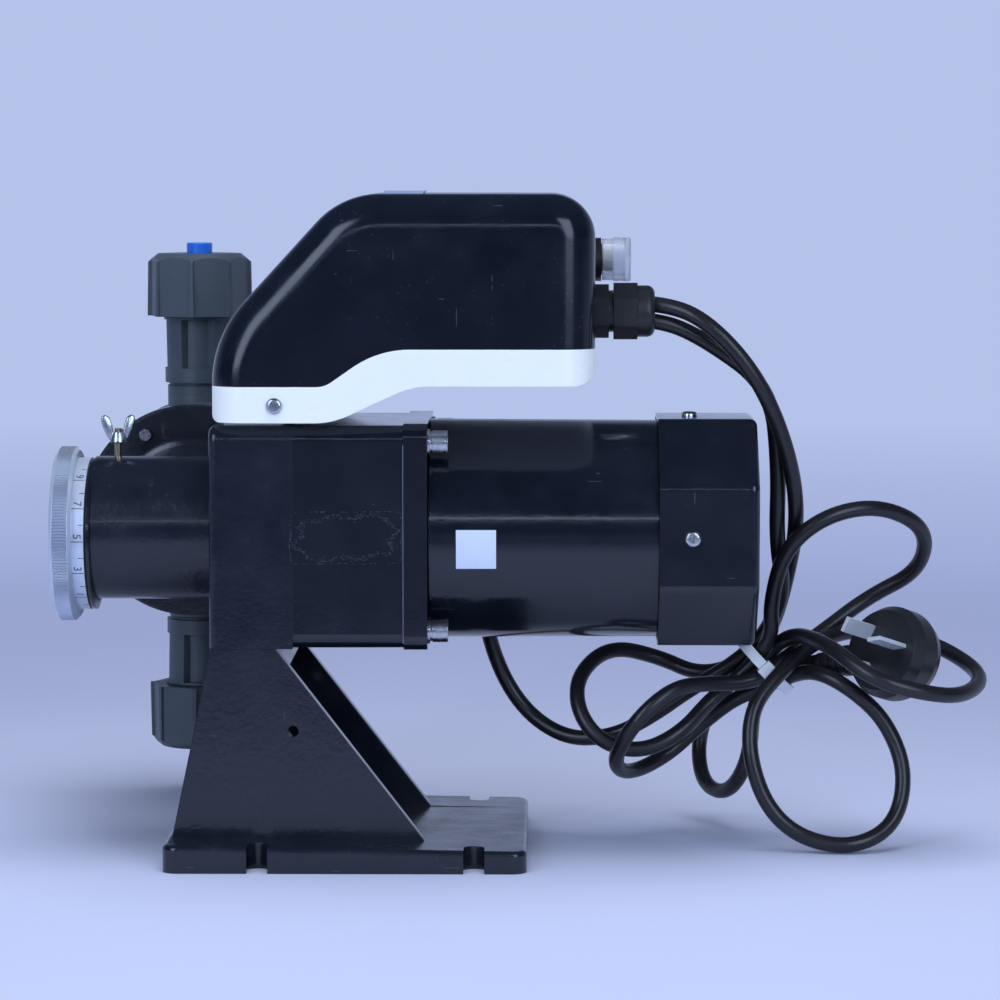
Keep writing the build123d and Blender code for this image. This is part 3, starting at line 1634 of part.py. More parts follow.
with BuildPart() as signal_socket:
    with BuildSketch(entry_plane):
        with Locations((socket_y, socket_height)):
            Circle(cap_diameter / 2)
    extrude(amount=2.9)
    with BuildSketch(entry_plane.offset(-box_wall - 6)):
        with Locations((socket_y, socket_height)):
            Circle(cap_diameter / 2 - 2.6)
    extrude(amount=box_wall + 6 + 11)
    with BuildSketch(entry_plane.offset(4)):
        with Locations((socket_y, socket_height)):
            Circle(cap_diameter / 2 - 4)
    extrude(amount=8, mode=Mode.SUBTRACT)
    with BuildSketch(entry_plane.offset(4)):
        with Locations((socket_y, socket_height)):
            with PolarLocations(2.6, 4):
                Circle(0.5)
    extrude(amount=5)

with BuildPart() as socket_cap:
    with BuildSketch(entry_plane.offset(3.2)):
        with Locations((socket_y, socket_height)):
            Circle(cap_diameter / 2)
            Circle(cap_diameter / 2 - cap_wall, mode=Mode.SUBTRACT)
    extrude(amount=12)
    with BuildSketch(entry_plane.offset(13.6)):
        with Locations((socket_y, socket_height)):
            Circle(cap_diameter / 2)
    extrude(amount=cap_wall)
    fillet(socket_cap.faces().sort_by(Axis.X)[-1].edges(), radius=1.2)

with BuildPart() as pan_head_screws:
    for turn in range(4):
        screw_plane = Plane(
            origin=(cover_left + cover_screw_inset, 0, axis_height),
            x_dir=(1, 0, 0),
            z_dir=(0, math.cos(turn * math.pi / 2), math.sin(turn * math.pi / 2)),
        )
        with BuildSketch(screw_plane.offset(cover_flats / 2)):
            Circle(3.3)
        extrude(amount=1.8, taper=14)
        with BuildSketch(screw_plane.offset(cover_flats / 2 - 7)):
            Circle(2.0)
        extrude(amount=7)
    for side in (-1, 1):
        side_screw = Plane(
            origin=(side_screw_x, side * box_width / 2, side_screw_z),
            x_dir=(1, 0, 0),
            z_dir=(0, side, 0),
        )
        with BuildSketch(side_screw):
            Circle(3.4)
        extrude(amount=1.6, taper=14)
        with BuildSketch(side_screw.offset(-6)):
            Circle(1.9)
        extrude(amount=6)

# ---------------------------------------------------------------- cords, plug and tie
# The cords' routes are free curves: straight runs joined by arcs, from the gland outwards.
# Both hang from the gland, are gathered by one tie below the fan cover and lie in loops.
lead_points = [
    (54.8, 26.5, 98.7), (55, 38, 83.5), (67.5, 41.5, 54), (87.5, 33, 39.5), (108.5, 27, 41),
    (125.5, 25, 50.5), (141.5, 28, 61.5), (160.5, 26, 73), (173, 26, 85), (180.5, 18, 104.5),
    (176, 4.5, 126.5), (176.5, -2, 157), (172.5, -10.5, 191.5), (145.5, -9, 211), (127, -12, 219.2),
    (113, -12, 219.2),
]
mains_points = [
    (113, -12, 226), (127, -12, 226), (145, -21, 220), (166, -22, 197.5), (179.5, -12.5, 167),
    (185, -1, 137.5), (181.5, 28, 105.5), (175.5, 33.5, 84.5), (162, 33.5, 71), (145.5, 43.5, 65.5),
    (129, 49, 72.5), (108, 39, 78.5), (94, 24.5, 68.5), (93.5, 14.5, 54.5), (103.5, 8.5, 41.5),
    (120.5, 8, 37.5), (137.5, 11, 45.5), (150, 22.5, 58), (163, 21, 68.5), (175.5, 17, 84),
    (174, 10, 100.5), (179, -3.5, 124.5), (196, -4, 138.5), (219, 2.5, 142), (240, 17, 131),
    (238.5, 32, 111.5), (217, 38.5, 99.5), (197, 30, 85.5), (181.5, 18, 76.5), (168.5, 14.5, 66),
    (147.5, 6, 67), (133, -7.5, 67), (117.5, -12.5, 54), (108, -1.5, 35.5), (114.5, 20.5, 26),
    (131, 36, 31), (146, 38, 44.5), (158.5, 30, 56), (169, 26.5, 61.5), (182, 21, 68),
    (193, 7.5, 72.5), (207.5, -0.5, 65.5), (222, 1, 52), (230, -4, 31.5), (225, -12.5, 10.5),
    (206.5, -21.5, 2.5), (185, -17, 6), (171, -14, 19), (164, -12, 41), (166, -6, 59.5),
    (178, 3.5, 72), (193, 17, 83.5), (212, 30, 87), (232.5, 32, 84.5), (251.5, 24, 78),
    (263, 2, 70), (250.5, -30, 66.5), (232, -39.5, 69.5), (212, -41, 75.5), (194, -23, 88.5),
    (181.5, 23, 86.5), (167, 31.5, 65.5), (155.5, 67.5, 57), (146.5, 74, 34.5), (148, 61.5, 15.5),
    (158.5, 41, 14), (167, 29.5, 31.5), (168.5, 36.5, 54.5), (178.4, 32.3, 68.6), (191.9, 21, 72.3),
]
bend_share = 0.45  # share of the shorter run that each bend takes


def bend_radii(points):
    """Radius of the arc at each inner point of a route."""
    radii = []
    for before, here, after in zip(points, points[1:], points[2:]):
        incoming = Vector(here) - Vector(before)
        outgoing = Vector(after) - Vector(here)
        half_turn = math.radians(incoming.get_angle(outgoing)) / 2
        shorter = min(incoming.length, outgoing.length)
        radii.append(bend_share * shorter / math.tan(half_turn))
    return radii


def cord_along(points):
    """A round cord of straight runs joined by tangent arcs."""
    with BuildPart() as cord:
        with BuildLine() as route:
            FilletPolyline(*points, radius=bend_radii(points))
        way = route.wire()
        with BuildSketch(Plane(origin=way @ 0, z_dir=way % 0)):
            Circle(cord_diameter / 2)
        sweep(path=way)
    section = math.pi * cord_diameter**2 / 4
    print("cord length", round(way.length), "by volume", round(cord.part.volume / section))
    print("bend radii", [round(radius) for radius in bend_radii(points)])
    return cord


motor_cord = cord_along(lead_points)
mains_cord = cord_along(mains_points)

with BuildPart() as gland_insert:
    insert_plane = Plane.YZ.offset(box_right + 10.0)
    with BuildSketch(insert_plane):
        with Locations((gland_y, gland_height)):
            SlotOverall(cord_spread + gland_slot - running, gland_slot - running, rotation=90)
            with Locations((0, cord_spread / 2), (0, -cord_spread / 2)):
                Circle(cord_diameter / 2 + running, mode=Mode.SUBTRACT)
    extrude(amount=insert_length)

plug_axis = Vector(-0.6587, -0.6986, 0.2794).normalized()
plug_side = Vector(-0.7517, 0.6276, -0.2027).normalized()
plug_centre = Vector(*mains_points[-1]) - plug_side * plug_reach
plug_section = Plane(origin=plug_centre, x_dir=plug_axis, z_dir=plug_side)
sleeve_section = Plane(origin=plug_centre, x_dir=plug_side, z_dir=plug_axis)
plug_face_plane = Plane(origin=plug_centre, x_dir=-plug_side, z_dir=plug_axis)
with BuildPart() as plug_body:
    plug_profile = outline(
        [
            (-plug_back, 0),
            (-plug_back, plug_body_diameter / 2 - 6),
            (-plug_back + 3, plug_body_diameter / 2 - 2),
            (-plug_back + 8, plug_body_diameter / 2),
            (plug_front - 5, plug_body_diameter / 2),
            (plug_front, plug_body_diameter / 2 - 2.4),
            (plug_front, 0),
        ],
        plug_section,
    )
    revolve(plug_profile, axis=Axis(plug_centre, plug_axis))
    sleeve_foot = plug_body_diameter / 2 - 7
    sleeve_points = [(sleeve_foot, 0), (sleeve_foot, sleeve_root / 2)]
    rib_pitch = (plug_reach - plug_body_diameter / 2 - 2) / sleeve_ribs
    for rib in range(sleeve_ribs):
        start = plug_body_diameter / 2 + 1.6 + rib * rib_pitch
        taper = (sleeve_root - sleeve_tip) / 2 * rib / (sleeve_ribs - 1)
        sleeve_points += [
            (start, sleeve_root / 2 - taper - sleeve_groove),
            (start + rib_pitch * 0.3, sleeve_root / 2 - taper - sleeve_groove),
            (start + rib_pitch * 0.4, sleeve_root / 2 - taper),
            (start + rib_pitch * 0.9, sleeve_root / 2 - taper),
        ]
    sleeve_points += [(plug_reach, sleeve_tip / 2), (plug_reach, 0)]
    revolve(outline(sleeve_points, sleeve_section), axis=Axis(plug_centre, plug_side))

with BuildPart() as plug_pins:
    with BuildSketch(plug_face_plane.offset(plug_front)):
        with Locations((earth_pin_offset, 0)):
            Rectangle(pin_width, pin_thickness)
        for side in (-1, 1):
            with Locations(Location((live_pin_offset, side * live_pin_spread / 2, 0), side * 60)):
                Rectangle(pin_width, pin_thickness)
    extrude(amount=pin_length)

with BuildPart() as cable_tie:
    tie_plane = Plane(origin=tie_centre, x_dir=(0, 1, 0), z_dir=tie_direction)
    with BuildSketch(tie_plane.offset(-tie_width / 2)):
        Circle(tie_radius + tie_thickness)
        Circle(tie_radius, mode=Mode.SUBTRACT)
    extrude(amount=tie_width)
    with BuildSketch(tie_plane.offset(-tie_width / 2 - 1)):
        with Locations((-tie_radius - tie_buckle / 2, 0)):
            Rectangle(tie_buckle, tie_buckle + 1)
    extrude(amount=tie_width + 2)

pieces = {
    "stand": stand,
    "stand_screws": stand_screws,
    "drive_housing": drive_housing,
    "end_collar": end_collar,
    "dial_retaining_ring": dial_retaining_ring,
    "scale_dial": scale_dial,
    "adjusting_screw": adjusting_screw,
    "lock_stud": lock_stud,
    "lock_wing_nut": lock_wing_nut,
    "drive_shaft": drive_shaft,
    "wedge_core": wedge_core,
    "eccentric": eccentric,
    "eccentric_bearing": eccentric_bearing,
    "push_rod": push_rod,
    "support_disc": support_disc,
    "return_spring": return_spring,
    "rod_guide": rod_guide,
    "rod_seal": rod_seal,
    "diaphragm": diaphragm,
    "pump_head": pump_head,
    "head_bolts": head_bolts,
    "suction_valve": suction_valve,
    "discharge_valve": discharge_valve,
    "valve_seats": valve_seats,
    "valve_o_rings": valve_o_rings,
    "suction_ball": suction_ball,
    "discharge_ball": discharge_ball,
    "suction_union_nut": suction_union_nut,
    "discharge_union_nut": discharge_union_nut,
    "outlet_plug": outlet_plug,
    "gear_case": gear_case,
    "layshaft_gear": layshaft_gear,
    "output_gear": output_gear,
    "gearbox_bearings": gearbox_bearings,
    "rotor_bearings": rotor_bearings,
    "front_shield": front_shield,
    "flange_screws": flange_screws,
    "motor_body": motor_body,
    "motor_grommet": motor_grommet,
    "stator_core": stator_core,
    "stator_windings": stator_windings,
    "rotor_core": rotor_core,
    "rotor_shaft": rotor_shaft,
    "rear_shield": rear_shield,
    "cooling_fan": cooling_fan,
    "fan_cover": fan_cover,
    "pan_head_screws": pan_head_screws,
    "box_base": box_base,
    "box_cover": box_cover,
    "control_board": control_board,
    "gland_body": gland_body,
    "gland_nut": gland_nut,
    "gland_insert": gland_insert,
    "signal_socket": signal_socket,
    "socket_cap": socket_cap,
    "motor_cord": motor_cord,
    "mains_cord": mains_cord,
    "plug_body": plug_body,
    "plug_pins": plug_pins,
    "cable_tie": cable_tie,
}

os.makedirs("parts", exist_ok=True)
for name, piece in pieces.items():
    piece.part.label = name
    export_step(piece.part, f"parts/{name}.step")
    print(name, round(piece.part.volume, 1), len(piece.part.solids()))
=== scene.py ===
import logging
import math
import random
from dataclasses import dataclass, field
from enum import Enum

import bmesh
import bpy
from mathutils import Matrix, Vector


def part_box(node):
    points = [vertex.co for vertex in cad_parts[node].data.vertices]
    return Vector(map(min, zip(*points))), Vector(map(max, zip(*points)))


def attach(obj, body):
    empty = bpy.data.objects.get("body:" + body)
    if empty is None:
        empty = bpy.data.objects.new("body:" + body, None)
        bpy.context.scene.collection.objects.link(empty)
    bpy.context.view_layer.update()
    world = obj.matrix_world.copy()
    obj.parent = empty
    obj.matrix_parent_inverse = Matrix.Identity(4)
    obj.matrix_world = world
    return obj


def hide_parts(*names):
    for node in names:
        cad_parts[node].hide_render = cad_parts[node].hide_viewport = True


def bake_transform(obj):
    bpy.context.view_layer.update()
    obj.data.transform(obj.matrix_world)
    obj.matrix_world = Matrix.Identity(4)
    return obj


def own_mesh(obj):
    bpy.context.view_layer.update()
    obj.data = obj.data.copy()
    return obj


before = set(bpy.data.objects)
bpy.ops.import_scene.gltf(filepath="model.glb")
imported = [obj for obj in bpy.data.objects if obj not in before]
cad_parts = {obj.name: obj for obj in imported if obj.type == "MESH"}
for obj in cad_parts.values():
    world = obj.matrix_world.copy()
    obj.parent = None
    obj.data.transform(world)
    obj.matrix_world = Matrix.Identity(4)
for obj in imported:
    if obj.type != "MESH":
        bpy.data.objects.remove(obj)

Colour = tuple[float, float, float]
Point = tuple[float, float, float]

logging.basicConfig(level=logging.INFO, format="%(name)s: %(message)s")
log = logging.getLogger("metering_pump")

AXIS_HEIGHT = 0.1326
DIAL_HEIGHT = 0.1301


# ---------------------------------------------------------------- shader node trees


class SocketKind(Enum):
    """Kinds of node group socket that the surface effects use."""

    VALUE = "NodeSocketFloat"
    COLOUR = "NodeSocketColor"
    VECTOR = "NodeSocketVector"


class NodeLayout:
    """The node tree of a material, a world or an effect, laid out from an empty start."""

    def __init__(self, tree: bpy.types.NodeTree) -> None:
        """Empties a tree."""
        tree.nodes.clear()
        self.tree = tree

    def feed(self, target: bpy.types.NodeSocket, value: object) -> None:
        """Links a socket to an input, or sets the input to a value."""
        if isinstance(value, bpy.types.NodeSocket):
            self.tree.links.new(value, target)
        else:
            target.default_value = (*value, 1.0) if target.type == "RGBA" else value

    def add(
        self, kind: str, settings: dict[str, object] | None = None, **values: object,
    ) -> bpy.types.Node:
        """Adds a shader node.

        Args:
            kind: The node's type name, without its prefix.
            settings: Properties to set on it.
            **values: Each input by its name, as a value or as a socket to link from.

        Returns:
            The new node.
        """
        node = self.tree.nodes.new("ShaderNode" + kind)
        for key, value in (settings or {}).items():
            setattr(node, key, value)
        for name, value in values.items():
            self.feed(node.inputs[name.replace("_", " ")], value)
        return node

    def math(self, operation: str, first: object, second: object) -> bpy.types.NodeSocket:
        """Works out one number from two, each a socket or a number."""
        node = self.add("Math", {"operation": operation})
        self.feed(node.inputs[0], first)
        self.feed(node.inputs[1], second)
        return node.outputs[0]

    def ramp(self, source: bpy.types.NodeSocket, start: float, end: float) -> bpy.types.NodeSocket:
        """A value that goes from 0 to 1 as its source goes from a start to an end."""
        return self.add("MapRange", From_Min=start, From_Max=end, Value=source).outputs["Result"]

    def blend(
        self, share: object, first: object, second: object, kind: str = "RGBA",
    ) -> bpy.types.NodeSocket:
        """Mixes two colours or two numbers by a share."""
        node = self.add("Mix", {"data_type": kind}, Factor=share, A=first, B=second)
        return node.outputs["Result"]

    def switch(
        self, share: bpy.types.NodeSocket, first: bpy.types.Node, second: bpy.types.Node,
    ) -> bpy.types.Node:
        """Mixes two shaders by a share."""
        node = self.add("MixShader", Fac=share)
        self.feed(node.inputs[1], first.outputs[0])
        self.feed(node.inputs[2], second.outputs[0])
        return node


# ---------------------------------------------------------------- shared surface effects


class EffectGroup(NodeLayout):
    """A shader node group that is built once and placed in many materials."""

    def __init__(self, name: str) -> None:
        """Opens an empty group with its input and output nodes."""
        super().__init__(bpy.data.node_groups.new(name, "ShaderNodeTree"))
        self.entry = self.tree.nodes.new("NodeGroupInput")
        self.exit = self.tree.nodes.new("NodeGroupOutput")

    def takes(self, name: str, kind: SocketKind, value: float | None = None) -> bpy.types.NodeSocket:
        """Adds an input to the group.

        Args:
            name: The input's name.
            kind: What it carries.
            value: Its value where a material leaves it alone.

        Returns:
            The socket inside the group that carries it.
        """
        socket = self.tree.interface.new_socket(name, in_out="INPUT", socket_type=kind.value)
        if value is not None:
            socket.default_value = value
        return self.entry.outputs[name]

    def gives(self, name: str, kind: SocketKind, source: bpy.types.NodeSocket) -> None:
        """Adds an output to the group and feeds it from a socket."""
        self.tree.interface.new_socket(name, in_out="OUTPUT", socket_type=kind.value)
        self.feed(self.exit.inputs[name], source)


def relief_group() -> bpy.types.NodeTree:
    """Fine grain over a slow ripple, as paint, castings and mouldings have.

    Returns:
        The finished group.
    """
    group = EffectGroup("relief")
    vector = group.takes("Vector", SocketKind.VECTOR)
    grain_scale = group.takes("Grain Scale", SocketKind.VALUE, 1500.0)
    ripple_scale = group.takes("Ripple Scale", SocketKind.VALUE, 150.0)
    share = group.takes("Ripple Share", SocketKind.VALUE, 0.5)
    grain, ripple = (
        group.add("TexNoise", Vector=vector, Scale=scale, Detail=detail).outputs["Fac"]
        for scale, detail in ((grain_scale, 3.0), (ripple_scale, 1.0))
    )
    group.gives("Height", SocketKind.VALUE, group.blend(share, grain, ripple, "FLOAT"))
    return group.tree


def drift_group() -> bpy.types.NodeTree:
    """A colour and a roughness that drift slowly over a surface.

    Returns:
        The finished group.
    """
    group = EffectGroup("drift")
    vector = group.takes("Vector", SocketKind.VECTOR)
    scale = group.takes("Scale", SocketKind.VALUE, 40.0)
    first = group.takes("Colour", SocketKind.COLOUR)
    second = group.takes("Second Colour", SocketKind.COLOUR)
    roughness = group.takes("Roughness", SocketKind.VALUE, 0.3)
    spread = group.takes("Roughness Spread", SocketKind.VALUE, 0.1)
    cloud = group.add("TexNoise", Vector=vector, Scale=scale, Detail=5.0, Roughness=0.6)
    drift = group.ramp(cloud.outputs["Fac"], 0.35, 0.68)
    swing = group.math("MULTIPLY", group.math("SUBTRACT", drift, 0.5), spread)
    rough = group.math("MAXIMUM", group.math("ADD", roughness, swing), 0.02)
    group.gives("Colour", SocketKind.COLOUR, group.blend(drift, first, second))
    group.gives("Roughness", SocketKind.VALUE, rough)
    return group.tree


def scuff_group() -> bpy.types.NodeTree:
    """A mask of sparse hair scratches in two directions and of fine specks.

    Returns:
        The finished group.
    """
    group = EffectGroup("scuffs")
    vector = group.takes("Vector", SocketKind.VECTOR)
    scale = group.takes("Scale", SocketKind.VALUE, 90.0)
    amount = group.takes("Amount", SocketKind.VALUE, 0.5)
    patch = group.add("TexNoise", Vector=vector, Scale=scale, Detail=3.0)
    limit = group.math("SUBTRACT", 0.72, group.math("MULTIPLY", amount, 0.3))
    marks = None
    for turn, stretch, finer, width in (
        ((0.2, 1.25, 0.1), (1.0, 1.0, 0.05), 4.0, 0.07),
        ((0.1, 0.12, 0.3), (0.035, 1.0, 1.0), 5.0, 0.08),
        ((0.0, 0.0, 0.0), (1.0, 1.0, 1.0), 5.0, 0.09),
    ):
        turned_way = group.add("Mapping", Vector=vector, Rotation=turn, Scale=stretch)
        finer_scale = group.math("MULTIPLY", scale, finer)
        cells = group.add("TexVoronoi", Vector=turned_way.outputs["Vector"], Scale=finer_scale)
        dash = group.math("LESS_THAN", cells.outputs["Distance"], width)
        marks = dash if marks is None else group.math("MAXIMUM", marks, dash)
    worn = group.math("GREATER_THAN", patch.outputs["Fac"], limit)
    group.gives("Marks", SocketKind.VALUE, group.math("MULTIPLY", marks, worn))
    return group.tree


class Effects:
    """The surface effects of this file, each built on first use."""

    makers = {"relief": relief_group, "drift": drift_group, "scuffs": scuff_group}
    made: dict[str, bpy.types.NodeTree] = {}

    @classmethod
    def place(cls, layout: NodeLayout, name: str, **values: object) -> bpy.types.Node:
        """Places an effect in a material, building its group if it is new.

        Args:
            layout: The material's tree.
            name: Which effect.
            **values: The effect's inputs.

        Returns:
            The placed group.
        """
        if name not in cls.made:
            cls.made[name] = cls.makers[name]()
        return layout.add("Group", {"node_tree": cls.made[name]}, **values)


@dataclass(frozen=True)
class Finish:
    """A surface finish: its colour, gloss, relief and the marks of handling."""

    label: str
    colour: Colour
    second: Colour
    roughness: float
    spread: float = 0.08
    metallic: float = 0.0
    coat: float = 0.0
    coat_roughness: float = 0.06
    transmission: float = 0.0
    ior: float = 1.5
    grain_scale: float = 1500.0
    ripple_scale: float = 150.0
    ripple_share: float = 0.5
    relief: float = 0.00003
    drift_scale: float = 45.0
    scuff_colour: Colour = (0.25, 0.27, 0.3)
    scuffs: float = 0.0
    scuff_scale: float = 90.0
    scuff_share: float = 0.14
    edge: float = 0.0
    edge_samples: int = 4
    stretch: Point = (1.0, 1.0, 1.0)

    def material(self) -> bpy.types.Material:
        """Builds the finish as a node material.

        Returns:
            The material.
        """
        material = bpy.data.materials.new(self.label)
        material.use_nodes = True
        layout = NodeLayout(material.node_tree)
        place = layout.add("TexCoord").outputs["Object"]
        stretched = layout.add("Mapping", Vector=place, Scale=self.stretch)
        drift = Effects.place(
            layout, "drift", Vector=place, Scale=self.drift_scale, Colour=self.colour,
            Second_Colour=self.second, Roughness=self.roughness, Roughness_Spread=self.spread,
        )
        relief = Effects.place(
            layout, "relief", Vector=stretched.outputs["Vector"], Grain_Scale=self.grain_scale,
            Ripple_Scale=self.ripple_scale, Ripple_Share=self.ripple_share,
        )
        bump = layout.add("Bump", Strength=1.0, Distance=self.relief, Height=relief.outputs["Height"])
        if self.edge > 0:
            soft = layout.add("Bevel", {"samples": self.edge_samples}, Radius=self.edge)
            layout.feed(bump.inputs["Normal"], soft.outputs["Normal"])
        colour, roughness = drift.outputs["Colour"], drift.outputs["Roughness"]
        if self.scuffs > 0:
            marks = Effects.place(
                layout, "scuffs", Vector=place, Scale=self.scuff_scale, Amount=self.scuffs,
            )
            share = layout.math("MULTIPLY", marks.outputs["Marks"], self.scuff_share)
            colour = layout.blend(share, colour, self.scuff_colour)
            roughness = layout.math("ADD", roughness, share)
        shader = layout.add(
            "BsdfPrincipled", Base_Color=colour, Roughness=roughness, Metallic=self.metallic,
            Coat_Weight=self.coat, Coat_Roughness=self.coat_roughness, IOR=self.ior,
            Transmission_Weight=self.transmission, Normal=bump.outputs["Normal"],
        )
        layout.add("OutputMaterial", Surface=shader.outputs["BSDF"])
        return material


class Surface(Enum):
    """Every finish on the pump, with the frame's material slot that it stands for."""

    ENAMEL = "black_enamel"
    CASTING = "black_enamel_casting"
    STEEL = "steel"
    ZINC = "zinc"
    BRASS = "brass"
    ALUMINIUM = "dial_aluminium"
    KNURL = "dial_knurling"
    BLADE = "plug_blades"
    BRONZE = "bronze"
    PVC = "grey_pvc"
    RUBBER = "rubber"
    CERAMIC = "ball_ceramic"
    BLUE = "blue_plastic"
    BLACK_PLASTIC = "black_plastic"
    GLAND_PLASTIC = "gland_plastic"
    WHITE_PLASTIC = "white_plastic"
    CLEAR = "clear_plastic"
    IVORY = "ivory_plastic"
    RESIDUE = "tape_residue"
    FILM = "bare_film"
    BOARD = "board"
    LAMINATION = "lamination"
    COPPER = "copper"
    SHEATH = "cable_sheath"
    NYLON = "white_nylon"
    STICKER = "sticker_paper"
    INK = "scale_ink"


FINISHES: dict[Surface, Finish] = {
    Surface.ENAMEL: Finish(
        "black_enamel", (0.004, 0.006, 0.011), (0.007, 0.010, 0.017), 0.15, 0.10, coat=0.3,
        grain_scale=700.0, ripple_scale=120.0, ripple_share=0.6, relief=0.00012,
        scuffs=0.35, edge=0.0007,
    ),
    Surface.CASTING: Finish(
        "cast_enamel", (0.005, 0.008, 0.015), (0.009, 0.012, 0.021), 0.22, 0.14, coat=0.2,
        grain_scale=480.0, ripple_scale=90.0, ripple_share=0.5, relief=0.00025,
        scuffs=0.5, edge=0.0009,
    ),
    Surface.STEEL: Finish(
        "ground_steel", (0.52, 0.53, 0.55), (0.40, 0.41, 0.43), 0.28, 0.15, metallic=1.0,
        relief=0.00002, stretch=(6.0, 1.0, 1.0), edge=0.0003,
    ),
    Surface.ZINC: Finish(
        "zinc_plate", (0.66, 0.68, 0.70), (0.48, 0.50, 0.53), 0.26, 0.18, metallic=1.0,
        relief=0.00003, drift_scale=220.0, edge=0.0003,
    ),
    Surface.BRASS: Finish(
        "dull_brass", (0.52, 0.46, 0.30), (0.38, 0.34, 0.22), 0.25, 0.15, metallic=1.0,
        relief=0.00002, stretch=(1.0, 1.0, 6.0), edge=0.0002,
    ),
    Surface.ALUMINIUM: Finish(
        "turned_aluminium", (0.66, 0.74, 0.86), (0.55, 0.62, 0.75), 0.36, 0.14, metallic=0.50,
        relief=0.00003, grain_scale=900.0, stretch=(8.0, 0.5, 0.5), drift_scale=80.0, edge=0.0003,
    ),
    Surface.KNURL: Finish(
        "knurled_aluminium", (0.50, 0.56, 0.66), (0.40, 0.46, 0.56), 0.34, 0.14, metallic=0.75,
        relief=0.00002, drift_scale=80.0,
    ),
    Surface.BLADE: Finish(
        "plug_blades", (0.80, 0.85, 0.92), (0.66, 0.71, 0.80), 0.30, 0.12, metallic=0.45,
        relief=0.00002, edge=0.0002,
    ),
    Surface.BRONZE: Finish(
        "sintered_bronze", (0.48, 0.30, 0.14), (0.36, 0.22, 0.10), 0.4, 0.1, metallic=1.0,
    ),
    Surface.PVC: Finish(
        "grey_pvc", (0.048, 0.064, 0.084), (0.062, 0.080, 0.102), 0.42, 0.10,
        grain_scale=1800.0, ripple_share=0.25, relief=0.00005, scuffs=0.25, edge=0.0005,
    ),
    Surface.RUBBER: Finish(
        "rubber", (0.012, 0.012, 0.014), (0.02, 0.02, 0.022), 0.6, 0.1, relief=0.00004, edge=0.0003,
    ),
    Surface.CERAMIC: Finish(
        "ceramic", (0.80, 0.80, 0.76), (0.72, 0.72, 0.69), 0.1, 0.05, relief=0.00001,
    ),
    Surface.BLUE: Finish(
        "blue_plastic", (0.012, 0.12, 0.62), (0.02, 0.17, 0.70), 0.32, 0.08,
        relief=0.00004, edge=0.0004,
    ),
    Surface.BLACK_PLASTIC: Finish(
        "black_plastic", (0.004, 0.006, 0.012), (0.006, 0.009, 0.017), 0.17, 0.10,
        grain_scale=1100.0, ripple_scale=70.0, ripple_share=0.7, relief=0.00006,
        scuffs=0.6, edge=0.0006,
    ),
    Surface.GLAND_PLASTIC: Finish(
        "gland_plastic", (0.010, 0.011, 0.013), (0.016, 0.017, 0.020), 0.36, 0.10,
        relief=0.00004, edge=0.0004,
    ),
    Surface.WHITE_PLASTIC: Finish(
        "white_plastic", (0.90, 0.93, 0.90), (0.86, 0.90, 0.88), 0.32, 0.10,
        grain_scale=1500.0, ripple_share=0.3, relief=0.00004, scuffs=0.2,
        scuff_colour=(0.35, 0.36, 0.38), edge=0.0006,
    ),
    Surface.CLEAR: Finish(
        "clear_plastic", (0.86, 0.89, 0.93), (0.80, 0.84, 0.90), 0.14, 0.08, transmission=0.85,
        ior=1.49, relief=0.00004, edge=0.0004,
    ),
    Surface.IVORY: Finish("ivory_plastic", (0.62, 0.60, 0.48), (0.52, 0.50, 0.40), 0.4, 0.1),
    Surface.RESIDUE: Finish(
        "tape_residue", (0.012, 0.017, 0.030), (0.040, 0.054, 0.084), 0.5, 0.2, drift_scale=520.0,
        relief=0.00008, grain_scale=1100.0,
    ),
    # bare film; its pale colour also serves as the painted highlight at the gear case's joint
    Surface.FILM: Finish("bare_film", (0.40, 0.47, 0.66), (0.34, 0.41, 0.58), 0.35, 0.1),
    Surface.BOARD: Finish("board", (0.02, 0.14, 0.05), (0.03, 0.18, 0.07), 0.4, 0.1),
    Surface.LAMINATION: Finish(
        "lamination", (0.30, 0.31, 0.33), (0.22, 0.23, 0.25), 0.45, 0.1, metallic=1.0,
        stretch=(10.0, 0.5, 0.5), relief=0.0001,
    ),
    Surface.COPPER: Finish(
        "wire", (0.50, 0.20, 0.08), (0.38, 0.14, 0.05), 0.3, 0.1, metallic=1.0,
        stretch=(0.5, 5.0, 5.0), relief=0.0003, grain_scale=400.0,
    ),
    Surface.SHEATH: Finish(
        "cable_sheath", (0.009, 0.009, 0.011), (0.014, 0.014, 0.017), 0.32, 0.10,
        grain_scale=900.0, ripple_scale=60.0, ripple_share=0.4, relief=0.00006,
    ),
    Surface.NYLON: Finish(
        "white_nylon", (0.84, 0.89, 0.93), (0.76, 0.82, 0.88), 0.35, 0.08, relief=0.00004, edge=0.0003,
    ),
    Surface.STICKER: Finish(
        "sticker_paper", (0.66, 0.73, 0.86), (0.60, 0.67, 0.81), 0.45, 0.08,
        grain_scale=2600.0, ripple_share=0.2, relief=0.00003,
    ),
    Surface.INK: Finish("scale_ink", (0.02, 0.02, 0.025), (0.04, 0.04, 0.045), 0.5, 0.1),
}

